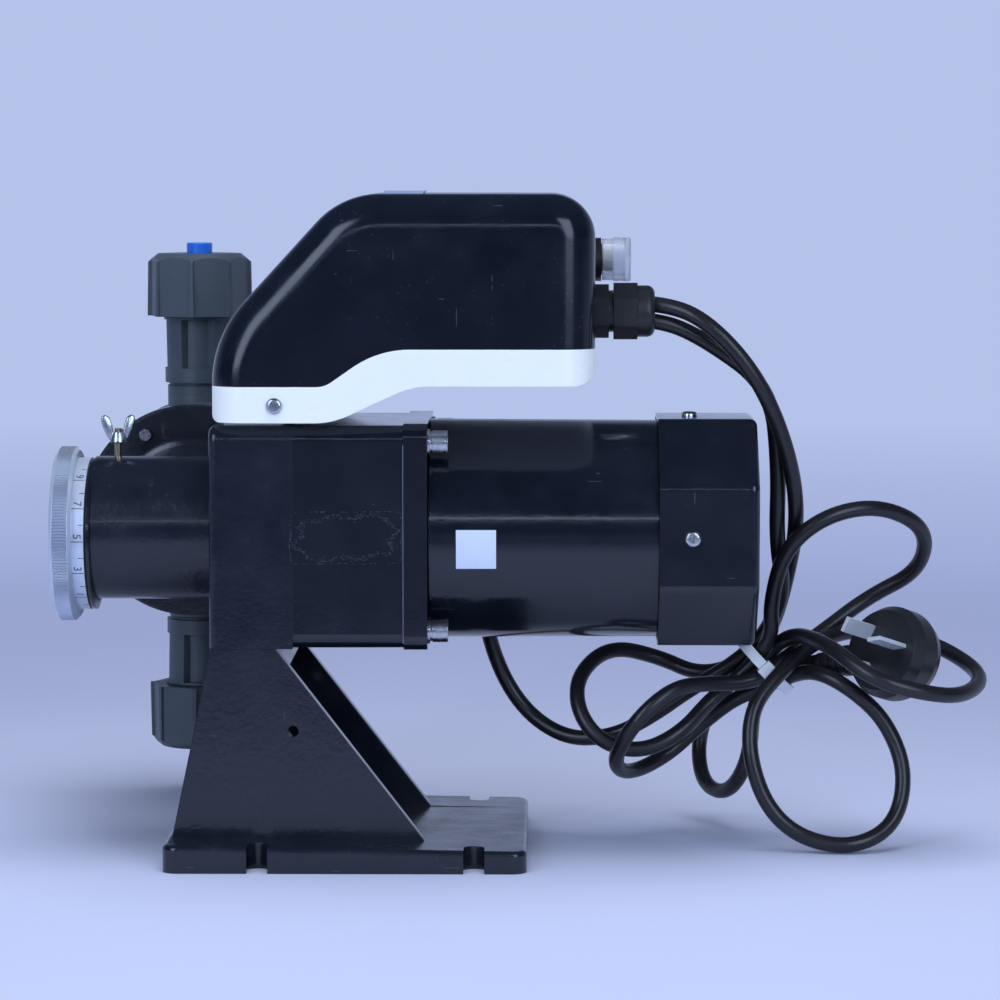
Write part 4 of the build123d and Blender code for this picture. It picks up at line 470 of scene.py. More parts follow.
NODE_SURFACES: dict[Surface, tuple[str, ...]] = {
    Surface.ENAMEL: ("motor_body", "fan_cover", "end_collar", "front_shield", "gear_case"),
    Surface.CASTING: ("stand", "drive_housing", "rear_shield"),
    Surface.STEEL: (
        "drive_shaft", "wedge_core", "eccentric", "eccentric_bearing", "push_rod", "return_spring",
        "layshaft_gear", "output_gear", "gearbox_bearings", "rotor_bearings", "rotor_shaft",
        "dial_retaining_ring", "support_disc",
    ),
    Surface.ZINC: (
        "stand_screws", "head_bolts", "flange_screws", "adjusting_screw",
    ),
    Surface.BRASS: ("lock_stud",),
    Surface.BLADE: ("plug_pins",),
    Surface.ALUMINIUM: ("scale_dial",),
    Surface.BRONZE: ("rod_guide",),
    Surface.PVC: (
        "pump_head", "suction_valve", "discharge_valve", "suction_union_nut", "discharge_union_nut",
    ),
    Surface.RUBBER: ("rod_seal", "diaphragm", "valve_o_rings", "motor_grommet", "gland_insert"),
    Surface.CERAMIC: ("suction_ball", "discharge_ball", "valve_seats"),
    Surface.BLUE: ("outlet_plug",),
    Surface.BLACK_PLASTIC: ("box_cover",),
    Surface.GLAND_PLASTIC: ("gland_body", "gland_nut", "cooling_fan", "plug_body"),
    Surface.WHITE_PLASTIC: ("box_base",),
    Surface.BOARD: ("control_board",),
    Surface.LAMINATION: ("stator_core", "rotor_core"),
    Surface.COPPER: ("stator_windings",),
    Surface.NYLON: ("cable_tie",),
}


class Paints:
    """The finishes as materials, each built on first use."""

    made: dict[Surface, bpy.types.Material] = {}

    @classmethod
    def get(cls, surface: Surface) -> bpy.types.Material:
        """Finds a finish's material, building it if it is new."""
        if surface not in cls.made:
            cls.made[surface] = FINISHES[surface].material()
        return cls.made[surface]

    @classmethod
    def dress(cls, piece: bpy.types.Object, surface: Surface) -> None:
        """Gives a whole piece one finish."""
        piece.data.materials.clear()
        piece.data.materials.append(cls.get(surface))


# ---------------------------------------------------------------- cords' routes, in metres

LEAD_ROUTE: list[Point] = [
    (0.0548, 0.0265, 0.0987), (0.055, 0.038, 0.0835), (0.0675, 0.0415, 0.054),
    (0.0875, 0.033, 0.0395), (0.1085, 0.027, 0.041), (0.1255, 0.025, 0.0505),
    (0.1415, 0.028, 0.0615), (0.1605, 0.026, 0.073), (0.173, 0.026, 0.085), (0.1805, 0.018, 0.1045),
    (0.176, 0.0045, 0.1265), (0.1765, -0.002, 0.157), (0.1725, -0.0105, 0.1915),
    (0.1455, -0.009, 0.211), (0.127, -0.012, 0.2192), (0.113, -0.012, 0.2192),
]
MAINS_ROUTE: list[Point] = [
    (0.113, -0.012, 0.226), (0.127, -0.012, 0.226), (0.145, -0.021, 0.22), (0.166, -0.022, 0.1975),
    (0.1795, -0.0125, 0.167), (0.185, -0.001, 0.1375), (0.1815, 0.028, 0.1055),
    (0.1755, 0.0335, 0.0845), (0.162, 0.0335, 0.071), (0.1455, 0.0435, 0.0655),
    (0.129, 0.049, 0.0725), (0.108, 0.039, 0.0785), (0.094, 0.0245, 0.0685),
    (0.0935, 0.0145, 0.0545), (0.1035, 0.0085, 0.0415), (0.1205, 0.008, 0.0375),
    (0.1375, 0.011, 0.0455), (0.15, 0.0225, 0.058), (0.163, 0.021, 0.0685), (0.1755, 0.017, 0.084),
    (0.174, 0.01, 0.1005), (0.179, -0.0035, 0.1245), (0.196, -0.004, 0.1385),
    (0.219, 0.0025, 0.142), (0.24, 0.017, 0.131), (0.2385, 0.032, 0.1115), (0.217, 0.0385, 0.0995),
    (0.197, 0.03, 0.0855), (0.1815, 0.018, 0.0765), (0.1685, 0.0145, 0.066), (0.1475, 0.006, 0.067),
    (0.133, -0.0075, 0.067), (0.1175, -0.0125, 0.054), (0.108, -0.0015, 0.0355),
    (0.1145, 0.0205, 0.026), (0.131, 0.036, 0.031), (0.146, 0.038, 0.0445), (0.1585, 0.03, 0.056),
    (0.169, 0.0265, 0.0615), (0.182, 0.021, 0.068), (0.193, 0.0075, 0.0725),
    (0.2075, -0.0005, 0.0655), (0.222, 0.001, 0.052), (0.23, -0.004, 0.0315),
    (0.225, -0.0125, 0.0105), (0.2065, -0.0215, 0.0025), (0.185, -0.017, 0.006),
    (0.171, -0.014, 0.019), (0.164, -0.012, 0.041), (0.166, -0.006, 0.0595), (0.178, 0.0035, 0.072),
    (0.193, 0.017, 0.0835), (0.212, 0.03, 0.087), (0.2325, 0.032, 0.0845), (0.2515, 0.024, 0.078),
    (0.263, 0.002, 0.07), (0.2505, -0.03, 0.0665), (0.232, -0.0395, 0.0695),
    (0.212, -0.041, 0.0755), (0.194, -0.023, 0.0885), (0.1815, 0.023, 0.0865),
    (0.167, 0.0315, 0.0655), (0.1555, 0.0675, 0.057), (0.1465, 0.074, 0.0345),
    (0.148, 0.0615, 0.0155), (0.1585, 0.041, 0.014), (0.167, 0.0295, 0.0315),
    (0.1685, 0.0365, 0.0545), (0.1784, 0.0323, 0.0686), (0.1919, 0.021, 0.0723),
]


# ---------------------------------------------------------------- helpers for new pieces


def piece_from(mesh: bmesh.types.BMesh, name: str, surface: Surface) -> bpy.types.Object:
    """Turns a finished bmesh into a dressed object at the origin.

    Args:
        mesh: The shape; it is freed here.
        name: The object's name.
        surface: Its finish.

    Returns:
        The new object.
    """
    bmesh.ops.remove_doubles(mesh, verts=mesh.verts, dist=0.000002)
    bmesh.ops.recalc_face_normals(mesh, faces=mesh.faces)
    data = bpy.data.meshes.new(name)
    mesh.to_mesh(data)
    mesh.free()
    made = bpy.data.objects.new(name, data)
    bpy.context.collection.objects.link(made)
    Paints.dress(made, surface)
    return made


def smooth_by_angle(piece: bpy.types.Object, degrees: float = 30.0) -> None:
    """Shades a mesh smooth, with sharp edges above an angle."""
    piece.data.shade_smooth()
    piece.data.set_sharp_from_angle(angle=math.radians(degrees))


def turned(profile: list[tuple[float, float]], steps: int = 48) -> bmesh.types.BMesh:
    """Spins an outline about the Z axis.

    Args:
        profile: (radius, height) corners, in metres, in order.
        steps: Facets round the axis.

    Returns:
        The turned shape; it is open only where the outline's ends leave the axis.
    """
    mesh = bmesh.new()
    corners = [mesh.verts.new((radius, 0.0, height)) for radius, height in profile]
    edges = [mesh.edges.new(pair) for pair in zip(corners, corners[1:])]
    bmesh.ops.spin(
        mesh, geom=corners + edges, cent=(0, 0, 0), axis=(0, 0, 1), angle=2 * math.pi,
        steps=steps, use_merge=True,
    )
    bmesh.ops.remove_doubles(mesh, verts=mesh.verts, dist=0.000002)
    return mesh


def prism(corners: list[Point], depth: Point) -> bmesh.types.BMesh:
    """Extrudes a closed outline.

    Args:
        corners: The outline's corners, in metres.
        depth: How far and which way it is drawn.

    Returns:
        The closed shape.
    """
    mesh = bmesh.new()
    face = mesh.faces.new([mesh.verts.new(corner) for corner in corners])
    grown = bmesh.ops.extrude_face_region(mesh, geom=[face], use_keep_orig=True)
    moved = [part for part in grown["geom"] if isinstance(part, bmesh.types.BMVert)]
    bmesh.ops.translate(mesh, vec=depth, verts=moved)
    bmesh.ops.recalc_face_normals(mesh, faces=mesh.faces)
    return mesh


def join(target: bmesh.types.BMesh, part: bmesh.types.BMesh, place: Matrix) -> None:
    """Moves a shape into place and adds it to another; the added one is freed."""
    bmesh.ops.transform(part, matrix=place, verts=part.verts)
    held = bpy.data.meshes.new("held")
    part.to_mesh(held)
    part.free()
    target.from_mesh(held)
    bpy.data.meshes.remove(held)


def facing(place: Point, normal: Point, spin: float = 0.0) -> Matrix:
    """A frame at a point with its Z axis along a normal.

    Args:
        place: The point, in metres.
        normal: The Z axis.
        spin: A turn about that axis, in radians.

    Returns:
        The frame as a matrix.
    """
    turn = Vector(normal).to_track_quat("Z", "Y").to_matrix().to_4x4()
    return Matrix.Translation(place) @ turn @ Matrix.Rotation(spin, 4, "Z")


def about_x(radius: float, angle: float, centre: float) -> tuple[float, float]:
    """The (y, z) of a point at a radius and an elevation on the near side of an X axis."""
    return (-radius * math.cos(angle), centre + radius * math.sin(angle))


# ---------------------------------------------------------------- studio


@dataclass
class Lamp:
    """A rectangular soft box that faces the pump."""

    name: str
    place: Point
    size: tuple[float, float]
    power: float
    mirrored: bool = True
    colour: Colour = (0.88, 0.92, 1.0)
    aim: Point = (0.05, 0.0, 0.12)

    def hang(self) -> None:
        """Places the soft box."""
        data = bpy.data.lights.new(self.name, "AREA")
        data.shape = "RECTANGLE"
        data.size, data.size_y = self.size
        data.energy = self.power
        data.color = self.colour
        lamp = bpy.data.objects.new(self.name, data)
        lamp.location = self.place
        way = Vector(self.aim) - Vector(self.place)
        lamp.rotation_euler = way.to_track_quat("-Z", "Y").to_euler()
        lamp.visible_glossy = self.mirrored
        bpy.context.collection.objects.link(lamp)


@dataclass
class Studio:
    """Camera, floor, daylight world and soft lamps."""

    camera_place: Point = (0.080418, -1.5438, 0.28117)
    camera_tilt: float = 84.9253
    camera_pan: float = 0.7
    lens: float = 135.0
    sensor: float = 36.0
    backdrop: Colour = (0.462, 0.546, 0.823)
    floor: Colour = (0.50, 0.54, 0.72)
    # painted shade: the paper floor darkens toward the back, where a curved backdrop's floor lies in
    # shade
    floor_back: Colour = (0.40, 0.43, 0.60)
    # painted shade: the far floor glows from this darker colour before it meets the backdrop's colour
    floor_far: Colour = (0.296, 0.356, 0.624)
    cool: Colour = (0.62, 0.74, 1.0)
    # painted shade: a dim emission on the floor before the camera, seen in reflections
    dim_floor: Colour = (0.14, 0.17, 0.29)
    dark_room: Colour = (0.030, 0.040, 0.075)
    daylight: Colour = (0.80, 0.88, 1.0)
    daylight_power: float = 0.42
    floor_radius: float = 6.0
    floor_sides: int = 96
    cloud_scale: float = 5.0
    cloud_detail: float = 4.0
    cloud_shade: float = 0.93
    fade_span: tuple[float, float] = (-0.15, 0.45)
    horizon_span: tuple[float, float] = (0.5, 2.6)
    glow_span: tuple[float, float] = (0.35, 1.2)
    dim_span: tuple[float, float] = (-0.75, -0.35)
    behind_span: tuple[float, float] = (0.1, 0.9)
    low_span: tuple[float, float] = (0.55, 0.05)

    def build(self) -> None:
        """Makes the whole studio."""
        bpy.context.scene.view_settings.view_transform = "Standard"
        self.make_camera()
        self.make_floor()
        self.make_world()
        self.make_lamps()

    def make_camera(self) -> None:
        """Places the camera and makes it the scene's own."""
        data = bpy.data.cameras.new("camera")
        data.lens = self.lens
        data.sensor_width = self.sensor
        camera = bpy.data.objects.new("camera", data)
        camera.location = self.camera_place
        camera.rotation_euler = (math.radians(self.camera_tilt), 0.0, math.radians(self.camera_pan))
        bpy.context.collection.objects.link(camera)
        bpy.context.scene.camera = camera

    def make_floor(self) -> None:
        """Lays a round paper floor that melts into the backdrop's colour far away."""
        mesh = bmesh.new()
        bmesh.ops.create_circle(
            mesh, cap_ends=True, segments=self.floor_sides, radius=self.floor_radius,
        )
        data = bpy.data.meshes.new("floor")
        mesh.to_mesh(data)
        mesh.free()
        floor = bpy.data.objects.new("floor", data)
        bpy.context.collection.objects.link(floor)
        data.materials.append(self.floor_material())

    def floor_material(self) -> bpy.types.Material:
        """Paper near the pump, an even glow far off and a dim stretch before the camera. The paper
        darkens toward the back, and the glow starts from a darker colour before it reaches the
        backdrop's: both are painted shade. The dim stretch is painted shade that reflections see.

        Returns:
            The material.
        """
        material = bpy.data.materials.new("paper_floor")
        material.use_nodes = True
        layout = NodeLayout(material.node_tree)
        place = layout.add("TexCoord").outputs["Object"]
        clouds = layout.add("TexNoise", Vector=place, Scale=self.cloud_scale, Detail=self.cloud_detail)
        depth = layout.add("SeparateXYZ", Vector=place).outputs["Y"]
        distance = layout.add("VectorMath", {"operation": "LENGTH"})
        layout.feed(distance.inputs[0], place)
        reach = distance.outputs["Value"]
        shaded = tuple(self.cloud_shade * part for part in self.floor)
        tint = layout.blend(clouds.outputs["Fac"], self.floor, shaded)
        # painted shade: the paper darkens toward the back
        back_shaded_paper = layout.blend(layout.ramp(depth, *self.fade_span), tint, self.floor_back)
        paper = layout.add("BsdfDiffuse", Color=back_shaded_paper)
        # painted shade: the far glow starts darker and brightens into the backdrop's colour
        horizon = layout.blend(layout.ramp(reach, *self.horizon_span), self.floor_far, self.backdrop)
        glow = layout.add("Emission", Color=horizon)
        far = layout.switch(layout.ramp(reach, *self.glow_span), paper, glow)
        # painted shade: the floor before the camera glows dim instead of taking the lamps' light
        dim = layout.add("Emission", Color=self.dim_floor)
        near = layout.switch(layout.ramp(depth, *self.dim_span), dim, far)
        layout.add("OutputMaterial", Surface=near.outputs[0])
        return material

    def make_world(self) -> None:
        """Sets a soft daylight, a pale backdrop and a room that reflections see darker in front."""
        world = bpy.data.worlds.new("studio")
        bpy.context.scene.world = world
        world.use_nodes = True
        layout = NodeLayout(world.node_tree)
        daylight = layout.add("Background", Color=self.daylight, Strength=self.daylight_power)
        shown = layout.add("Background", Color=self.backdrop)
        parts = layout.add("SeparateXYZ", Vector=layout.add("TexCoord").outputs["Generated"])
        behind = layout.ramp(parts.outputs["Y"], *self.behind_span)
        low = layout.ramp(parts.outputs["Z"], *self.low_span)
        tint = layout.blend(layout.math("MULTIPLY", behind, low), self.dark_room, self.backdrop)
        room = layout.add("Background", Color=tint)
        path = layout.add("LightPath")
        straight, through = path.outputs["Is Camera Ray"], path.outputs["Is Transmission Ray"]
        seen = layout.math("MAXIMUM", straight, through)
        mirrored = layout.switch(path.outputs["Is Glossy Ray"], daylight, room)
        direct = layout.switch(seen, mirrored, shown)
        layout.add("OutputWorld", Surface=direct.outputs[0])

    def make_lamps(self) -> None:
        """Hangs a soft box above and stands tall soft boxes near left, near right and in front."""
        for lamp in (
            Lamp("top_lamp", (0.1, -0.1, 1.5), (1.1, 1.1), 18.0, mirrored=False),
            Lamp("left_lamp", (-1.05, -1.50, 0.90), (0.75, 1.4), 16.0, colour=self.cool),
            Lamp("right_lamp", (0.98, -1.62, 0.82), (0.90, 1.3), 15.0, colour=self.cool),
            Lamp("window_strip", (0.05, -2.4, 0.78), (1.6, 0.04), 2.0, colour=self.cool),
        ):
            lamp.hang()


# ---------------------------------------------------------------- cords


@dataclass
class CordSet:
    """The motor lead and the mains cord with its plug and tie."""

    diameter: float = 0.0065
    lead_length: float = 0.355
    mains_length: float = 1.532

    def build(self) -> None:
        lead = self.spline("motor_lead", LEAD_ROUTE)
        mains = self.spline("mains_lead", MAINS_ROUTE)
        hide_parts("motor_cord")
        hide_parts("mains_cord")
        for cord in (lead, mains):
            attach(cord, "frame")
        log.info("cords laid")

    def spline(self, name: str, route: list[Point]) -> bpy.types.Object:
        """Lays a cord along its route.

        Args:
            name: The piece's name.
            route: Control points, in metres.

        Returns:
            The cord as a bevelled curve.
        """
        curve = bpy.data.curves.new(name, "CURVE")
        curve.dimensions = "3D"
        curve.bevel_depth = self.diameter / 2
        curve.bevel_resolution = 6
        curve.resolution_u = 8
        curve.use_fill_caps = True
        line = curve.splines.new("NURBS")
        line.points.add(len(route) - 1)
        for point, place in zip(line.points, route):
            point.co = (*place, 1.0)
        line.order_u = 3
        line.use_endpoint_u = True
        cord = bpy.data.objects.new(name, curve)
        bpy.context.collection.objects.link(cord)
        Paints.dress(cord, Surface.SHEATH)
        return cord


# ---------------------------------------------------------------- adjusting dial


@dataclass
class ScaleDial:
    """The knurled rim and the engraved scale of the stroke dial."""

    rim_length: float = 0.0088
    rim_chamfer: float = 0.0012
    sleeve_length: float = 0.0050
    knurl_lines: int = 180
    knurl_depth: float = 0.00045
    knurl_end: float = 0.0003
    knurl_drop: float = 0.0006
    sleeve_radius: float = 0.0314
    step: float = math.radians(12.5)
    middle: float = math.radians(-1.0)
    numeral_lift: float = math.radians(3.9)
    even_mark: float = 0.4
    mark_inset: float = 0.0002
    numeral_width: float = 0.0034
    numeral_size: float = 1.35
    numeral_place: float = 0.55
    stroke: float = 0.00032
    ink_depth: float = 0.00006
    left: float = field(init=False)
    right: float = field(init=False)
    rim_radius: float = field(init=False)

    def __post_init__(self) -> None:
        """Reads the dial's place from its CAD node."""
        low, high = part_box("scale_dial")
        self.left, self.right = low.x, high.x
        self.rim_radius = (high.z - low.z) / 2

    def build(self) -> None:
        """Makes the knurled band, the marks and the numerals."""
        for piece in (self.knurled_band(), self.marks(), self.numerals()):
            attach(piece, "dial")
        log.info("dial scale made")

    def knurled_band(self) -> bpy.types.Object:
        """Cuts straight knurling round the rim.

        Returns:
            The band.
        """
        start = self.left + self.rim_chamfer
        length = self.rim_length - 2 * self.rim_chamfer
        centre = Vector((start, 0, DIAL_HEIGHT))
        mesh = bmesh.new()
        bmesh.ops.create_circle(
            mesh, segments=2 * self.knurl_lines, radius=self.rim_radius,
            matrix=Matrix.Translation(centre) @ Matrix.Rotation(math.pi / 2, 4, "Y"),
        )
        ordered = sorted(mesh.verts, key=lambda v: math.atan2(v.co.z - DIAL_HEIGHT, v.co.y))
        raised = 1 + self.knurl_depth / self.rim_radius
        bmesh.ops.scale(
            mesh, vec=(1, raised, raised), verts=ordered[::2], space=Matrix.Translation(-centre),
        )
        loops = [list(mesh.edges)]
        for offset in (self.knurl_end, length - 2 * self.knurl_end, self.knurl_end):
            grown = bmesh.ops.extrude_edge_only(mesh, edges=loops[-1])
            new_edges = [part for part in grown["geom"] if isinstance(part, bmesh.types.BMEdge)]
            new_verts = [part for part in grown["geom"] if isinstance(part, bmesh.types.BMVert)]
            bmesh.ops.translate(mesh, vec=(offset, 0, 0), verts=new_verts)
            loops.append(new_edges)
        inward = 1 - self.knurl_drop / self.rim_radius
        for ring in (loops[0], loops[-1]):
            verts = list({vert for edge in ring for vert in edge.verts})
            bmesh.ops.scale(
                mesh, vec=(1, inward, inward), verts=verts, space=Matrix.Translation(-centre),
            )
        bmesh.ops.bridge_loops(mesh, edges=loops[0] + loops[-1])
        return piece_from(mesh, "dial_knurling", Surface.KNURL)

    def marks(self) -> bpy.types.Object:
        """Inks a line at each division, across the sleeve at the odd ones.

        Returns:
            The marks as one piece.
        """
        mesh = bmesh.new()
        for division in range(0, 11):
            length = (1 if division % 2 else self.even_mark) * self.sleeve_length
            angle = self.middle + self.step * (division - 5)
            y, z = about_x(self.sleeve_radius, angle, DIAL_HEIGHT)
            place = Matrix.Translation((self.right - length / 2 - self.mark_inset, y, z))
            turn = Matrix.Rotation(-angle, 4, "X")
            size = Matrix.Diagonal((length, self.ink_depth, self.stroke, 1.0))
            bmesh.ops.create_cube(mesh, size=1.0, matrix=place @ turn @ size)
        return piece_from(mesh, "dial_marks", Surface.INK)

    def numerals(self) -> bpy.types.Object:
        """Writes the odd numbers above their marks, with their tops toward the housing.

        Returns:
            The numerals as one mesh.
        """
        mesh = bmesh.new()
        for number in range(1, 10, 2):
            curve = bpy.data.curves.new(f"numeral_{number}", "FONT")
            curve.body = str(number)
            curve.size = self.numeral_width * self.numeral_size
            curve.align_x = "CENTER"
            curve.align_y = "CENTER"
            curve.extrude = self.ink_depth / 2
            text = bpy.data.objects.new(f"numeral_{number}", curve)
            bpy.context.collection.objects.link(text)
            graph = bpy.context.evaluated_depsgraph_get()
            flat = bpy.data.meshes.new_from_object(text.evaluated_get(graph))
            bpy.data.objects.remove(text)
            angle = self.middle + self.step * (number - 5) + self.numeral_lift
            y, z = about_x(self.sleeve_radius, angle, DIAL_HEIGHT)
            sideways = Matrix(((0, 1, 0, 0), (0, 0, -1, 0), (-1, 0, 0, 0), (0, 0, 0, 1)))
            turn = Matrix.Rotation(-angle, 4, "X")
            place = Matrix.Translation((self.right - self.numeral_place * self.sleeve_length, y, z))
            flat.transform(place @ turn @ sideways)
            mesh.from_mesh(flat)
            bpy.data.meshes.remove(flat)
        return piece_from(mesh, "dial_numerals", Surface.INK)


# ---------------------------------------------------------------- fasteners


@dataclass
class CrossScrews:
    """The cross-recessed pan-head screws of the fan cover and the control box."""

    head_radius: float = 0.0033
    head_height: float = 0.0018
    flat_radius: float = 0.0021
    arm_half: float = 0.00042
    arm_reach: float = 0.0015
    recess_depth: float = 0.0011
    recess_taper: float = 0.7
    first_spin: float = 0.5
    spin_step: float = 0.4
    side_spin: float = 0.2
    shank_radius: float = 0.0020
    shank_length: float = 0.0060
    cover_x: float = 0.1396
    cover_reach: float = 0.04645
    box_place: tuple[float, float, float] = (-0.0281, 0.0500, 0.1861)

    def build(self) -> None:
        """Makes all six screws as one piece."""
        mesh = bmesh.new()
        for turn in range(4):
            angle = turn * math.pi / 2
            normal = (0.0, math.cos(angle), math.sin(angle))
            place = (
                self.cover_x,
                self.cover_reach * normal[1],
                AXIS_HEIGHT + self.cover_reach * normal[2],
            )
            join(mesh, self.screw(), facing(place, normal, self.first_spin + self.spin_step * turn))
        for side in (-1, 1):
            place = (self.box_place[0], side * self.box_place[1], self.box_place[2])
            join(mesh, self.screw(), facing(place, (0.0, side, 0.0), self.side_spin))
        screws = piece_from(mesh, "cross_screws", Surface.ZINC)
        smooth_by_angle(screws, 35.0)
        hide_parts("pan_head_screws")
        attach(screws, "frame")
        log.info("screws made")

    def screw(self) -> bmesh.types.BMesh:
        """One screw at the origin with its head up.

        Returns:
            The closed screw.
        """
        mesh = turned([
            (self.flat_radius, self.head_height),
            (self.head_radius * 0.80, self.head_height * 0.90),
            (self.head_radius * 0.93, self.head_height * 0.70),
            (self.head_radius, self.head_height * 0.35),
            (self.head_radius, 0.0),
            (self.shank_radius, 0.0),
            (self.shank_radius, -self.shank_length),
            (0.0, -self.shank_length),
        ])
        rim = [edge for edge in mesh.edges if edge.is_boundary]
        half, reach = self.arm_half, self.arm_reach
        outline = [
            (reach, -half), (reach, half), (half, half), (half, reach), (-half, reach), (-half, half),
            (-reach, half), (-reach, -half), (-half, -half), (-half, -reach), (half, -reach),
            (half, -half),
        ]
        corners = [mesh.verts.new((x, y, self.head_height)) for x, y in outline]
        cross = [mesh.edges.new(pair) for pair in zip(corners, corners[1:] + corners[:1])]
        bmesh.ops.triangle_fill(mesh, use_beauty=True, edges=rim + cross)
        grown = bmesh.ops.extrude_edge_only(mesh, edges=cross)
        sunk = [part for part in grown["geom"] if isinstance(part, bmesh.types.BMVert)]
        floor = [part for part in grown["geom"] if isinstance(part, bmesh.types.BMEdge)]
        bmesh.ops.translate(mesh, vec=(0, 0, -self.recess_depth), verts=sunk)
        bmesh.ops.scale(mesh, vec=(self.recess_taper, self.recess_taper, 1.0), verts=sunk)
        bmesh.ops.edgenet_fill(mesh, edges=floor)
        return mesh


@dataclass
class WingNut:
    """The wing nut that locks the dial."""

    bore: float = 0.00155
    wing_half: float = 0.0010
    softness: float = 0.00055
    turn: float = math.radians(16.0)
    wing: tuple[tuple[float, float], ...] = (
        (0.0021, 0.0008), (0.0034, 0.0009), (0.0048, 0.0030), (0.0064, 0.0066), (0.0071, 0.0092),
        (0.0070, 0.0106), (0.0062, 0.0114), (0.0051, 0.0115), (0.0036, 0.0104), (0.0026, 0.0078),
        (0.0022, 0.0056), (0.0020, 0.0044),
    )

    def build(self) -> None:
        """Makes the hub and both wings."""
        low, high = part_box("lock_wing_nut")
        foot = ((low.x + high.x) / 2, 0.0, low.z)
        mesh = bmesh.new()
        hub = turned([
            (self.bore, 0.0), (0.0030, 0.0), (0.0034, 0.0004), (0.0033, 0.0012), (0.0028, 0.0038),
            (0.0025, 0.0045), (self.bore, 0.0046), (self.bore, 0.0),
        ])
        join(mesh, hub, Matrix.Translation(foot))
        for side in (0.0, math.pi):
            blade = prism([(x, -self.wing_half, z) for x, z in self.wing], (0, 2 * self.wing_half, 0))
            bmesh.ops.bevel(
                blade, geom=list(blade.edges), offset=self.softness, offset_type="OFFSET",
                segments=3, profile=0.5, affect="EDGES", clamp_overlap=True, material=-1,
            )
            spin = Matrix.Rotation(self.turn + side, 4, "Z")
            join(mesh, blade, Matrix.Translation(foot) @ spin)
        nut = piece_from(mesh, "wing_nut_body", Surface.ZINC)
        smooth_by_angle(nut, 40.0)
        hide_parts("lock_wing_nut")
        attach(nut, "wing_nut")
        log.info("wing nut made")


# ---------------------------------------------------------------- signal socket


@dataclass
class SignalSocket:
    """The signal socket on the box's end and its clear cap."""

    centre_y: float = 0.014
    centre_z: float = 0.243
    face: float = 0.1003
    ribs: int = 36
    rib_root: float = 0.00885
    rib_rise: float = 1.02

    def build(self) -> None:
        """Makes the socket's dark shell, its ivory contact block and the clear cap."""
        shell = self.along_x([
            (0.0, -0.0090), (0.0064, -0.0090), (0.0064, 0.0), (0.0088, 0.0), (0.0090, 0.0002),
            (0.0090, 0.0030), (0.0064, 0.0031), (0.0064, 0.0040), (0.0050, 0.0040), (0.0050, 0.0030),
            (0.0, 0.0030),
        ], "socket_shell", Surface.GLAND_PLASTIC)
        block = self.along_x([
            (0.0, 0.0030), (0.0049, 0.0030), (0.0049, 0.0078), (0.0045, 0.0082), (0.0012, 0.0082),
            (0.0012, 0.0072), (0.0, 0.0072),
        ], "contact_block", Surface.IVORY)
        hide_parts("signal_socket")
        cap = self.cap()
        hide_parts("socket_cap")
        for piece, body in ((shell, "frame"), (block, "frame"), (cap, "signal_cap")):
            smooth_by_angle(piece)
            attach(piece, body)
        log.info("signal socket made")

    def along_x(
        self, profile: list[tuple[float, float]], name: str, surface: Surface,
    ) -> bpy.types.Object:
        """Turns a profile about the socket's axis.

        Args:
            profile: (radius, distance from the box's end) corners.
            name: The piece's name.
            surface: Its finish.

        Returns:
            The piece.
        """
        mesh = turned(profile)
        place = facing((self.face, self.centre_y, self.centre_z), (1.0, 0.0, 0.0))
        bmesh.ops.transform(mesh, matrix=place, verts=mesh.verts)
        return piece_from(mesh, name, surface)

    def cap(self) -> bpy.types.Object:
        """Makes the stepped, ribbed cap with a hollow that is open toward the box.

        Returns:
            The cap.
        """
        mesh = turned([
            (0.0, 0.0130), (0.0066, 0.0130), (0.0072, 0.0124), (0.0072, 0.0034), (0.0085, 0.0034),
            (0.0086, 0.0036), (0.0086, 0.0078), (0.0089, 0.0081), (0.0089, 0.0147), (0.0085, 0.0152),
            (0.0, 0.0152),
        ], steps=2 * self.ribs)
        raised = [
            vert for vert in mesh.verts
            if vert.co.xy.length > self.rib_root
            and round(math.atan2(vert.co.y, vert.co.x) / (math.pi / self.ribs)) % 2 == 0
        ]
        bmesh.ops.scale(mesh, vec=(self.rib_rise, self.rib_rise, 1.0), verts=raised)
        place = facing((self.face, self.centre_y, self.centre_z), (1.0, 0.0, 0.0))
        bmesh.ops.transform(mesh, matrix=place, verts=mesh.verts)
        return piece_from(mesh, "clear_cap", Surface.CLEAR)


# ---------------------------------------------------------------- motor dress


@dataclass
class MotorDress:
    """The blank rating sticker on the motor."""

    left: float = 0.0444
    width: float = 0.0161
    low: float = math.radians(-16.0)
    high: float = math.radians(4.2)
    radius_left: float = 0.04520
    radius_right: float = 0.04512
    thickness: float = 0.00012

    def build(self) -> None:
        """Makes the sticker."""
        mesh = bmesh.new()
        start_y, start_z = about_x(self.radius_left, self.low, AXIS_HEIGHT)
        end_y, end_z = about_x(self.radius_right, self.low, AXIS_HEIGHT)
        first = mesh.verts.new((self.left, start_y, start_z))
        second = mesh.verts.new((self.left + self.width, end_y, end_z))
        edge = mesh.edges.new((first, second))
        bmesh.ops.spin(
            mesh, geom=[first, second, edge], cent=(0, 0, AXIS_HEIGHT), axis=(-1, 0, 0),
            angle=self.high - self.low, steps=14,
        )
        bmesh.ops.recalc_face_normals(mesh, faces=mesh.faces)
        bmesh.ops.solidify(mesh, geom=list(mesh.faces), thickness=-self.thickness)
        sticker = piece_from(mesh, "blank_sticker", Surface.STICKER)
        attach(sticker, "frame")
        log.info("sticker on")


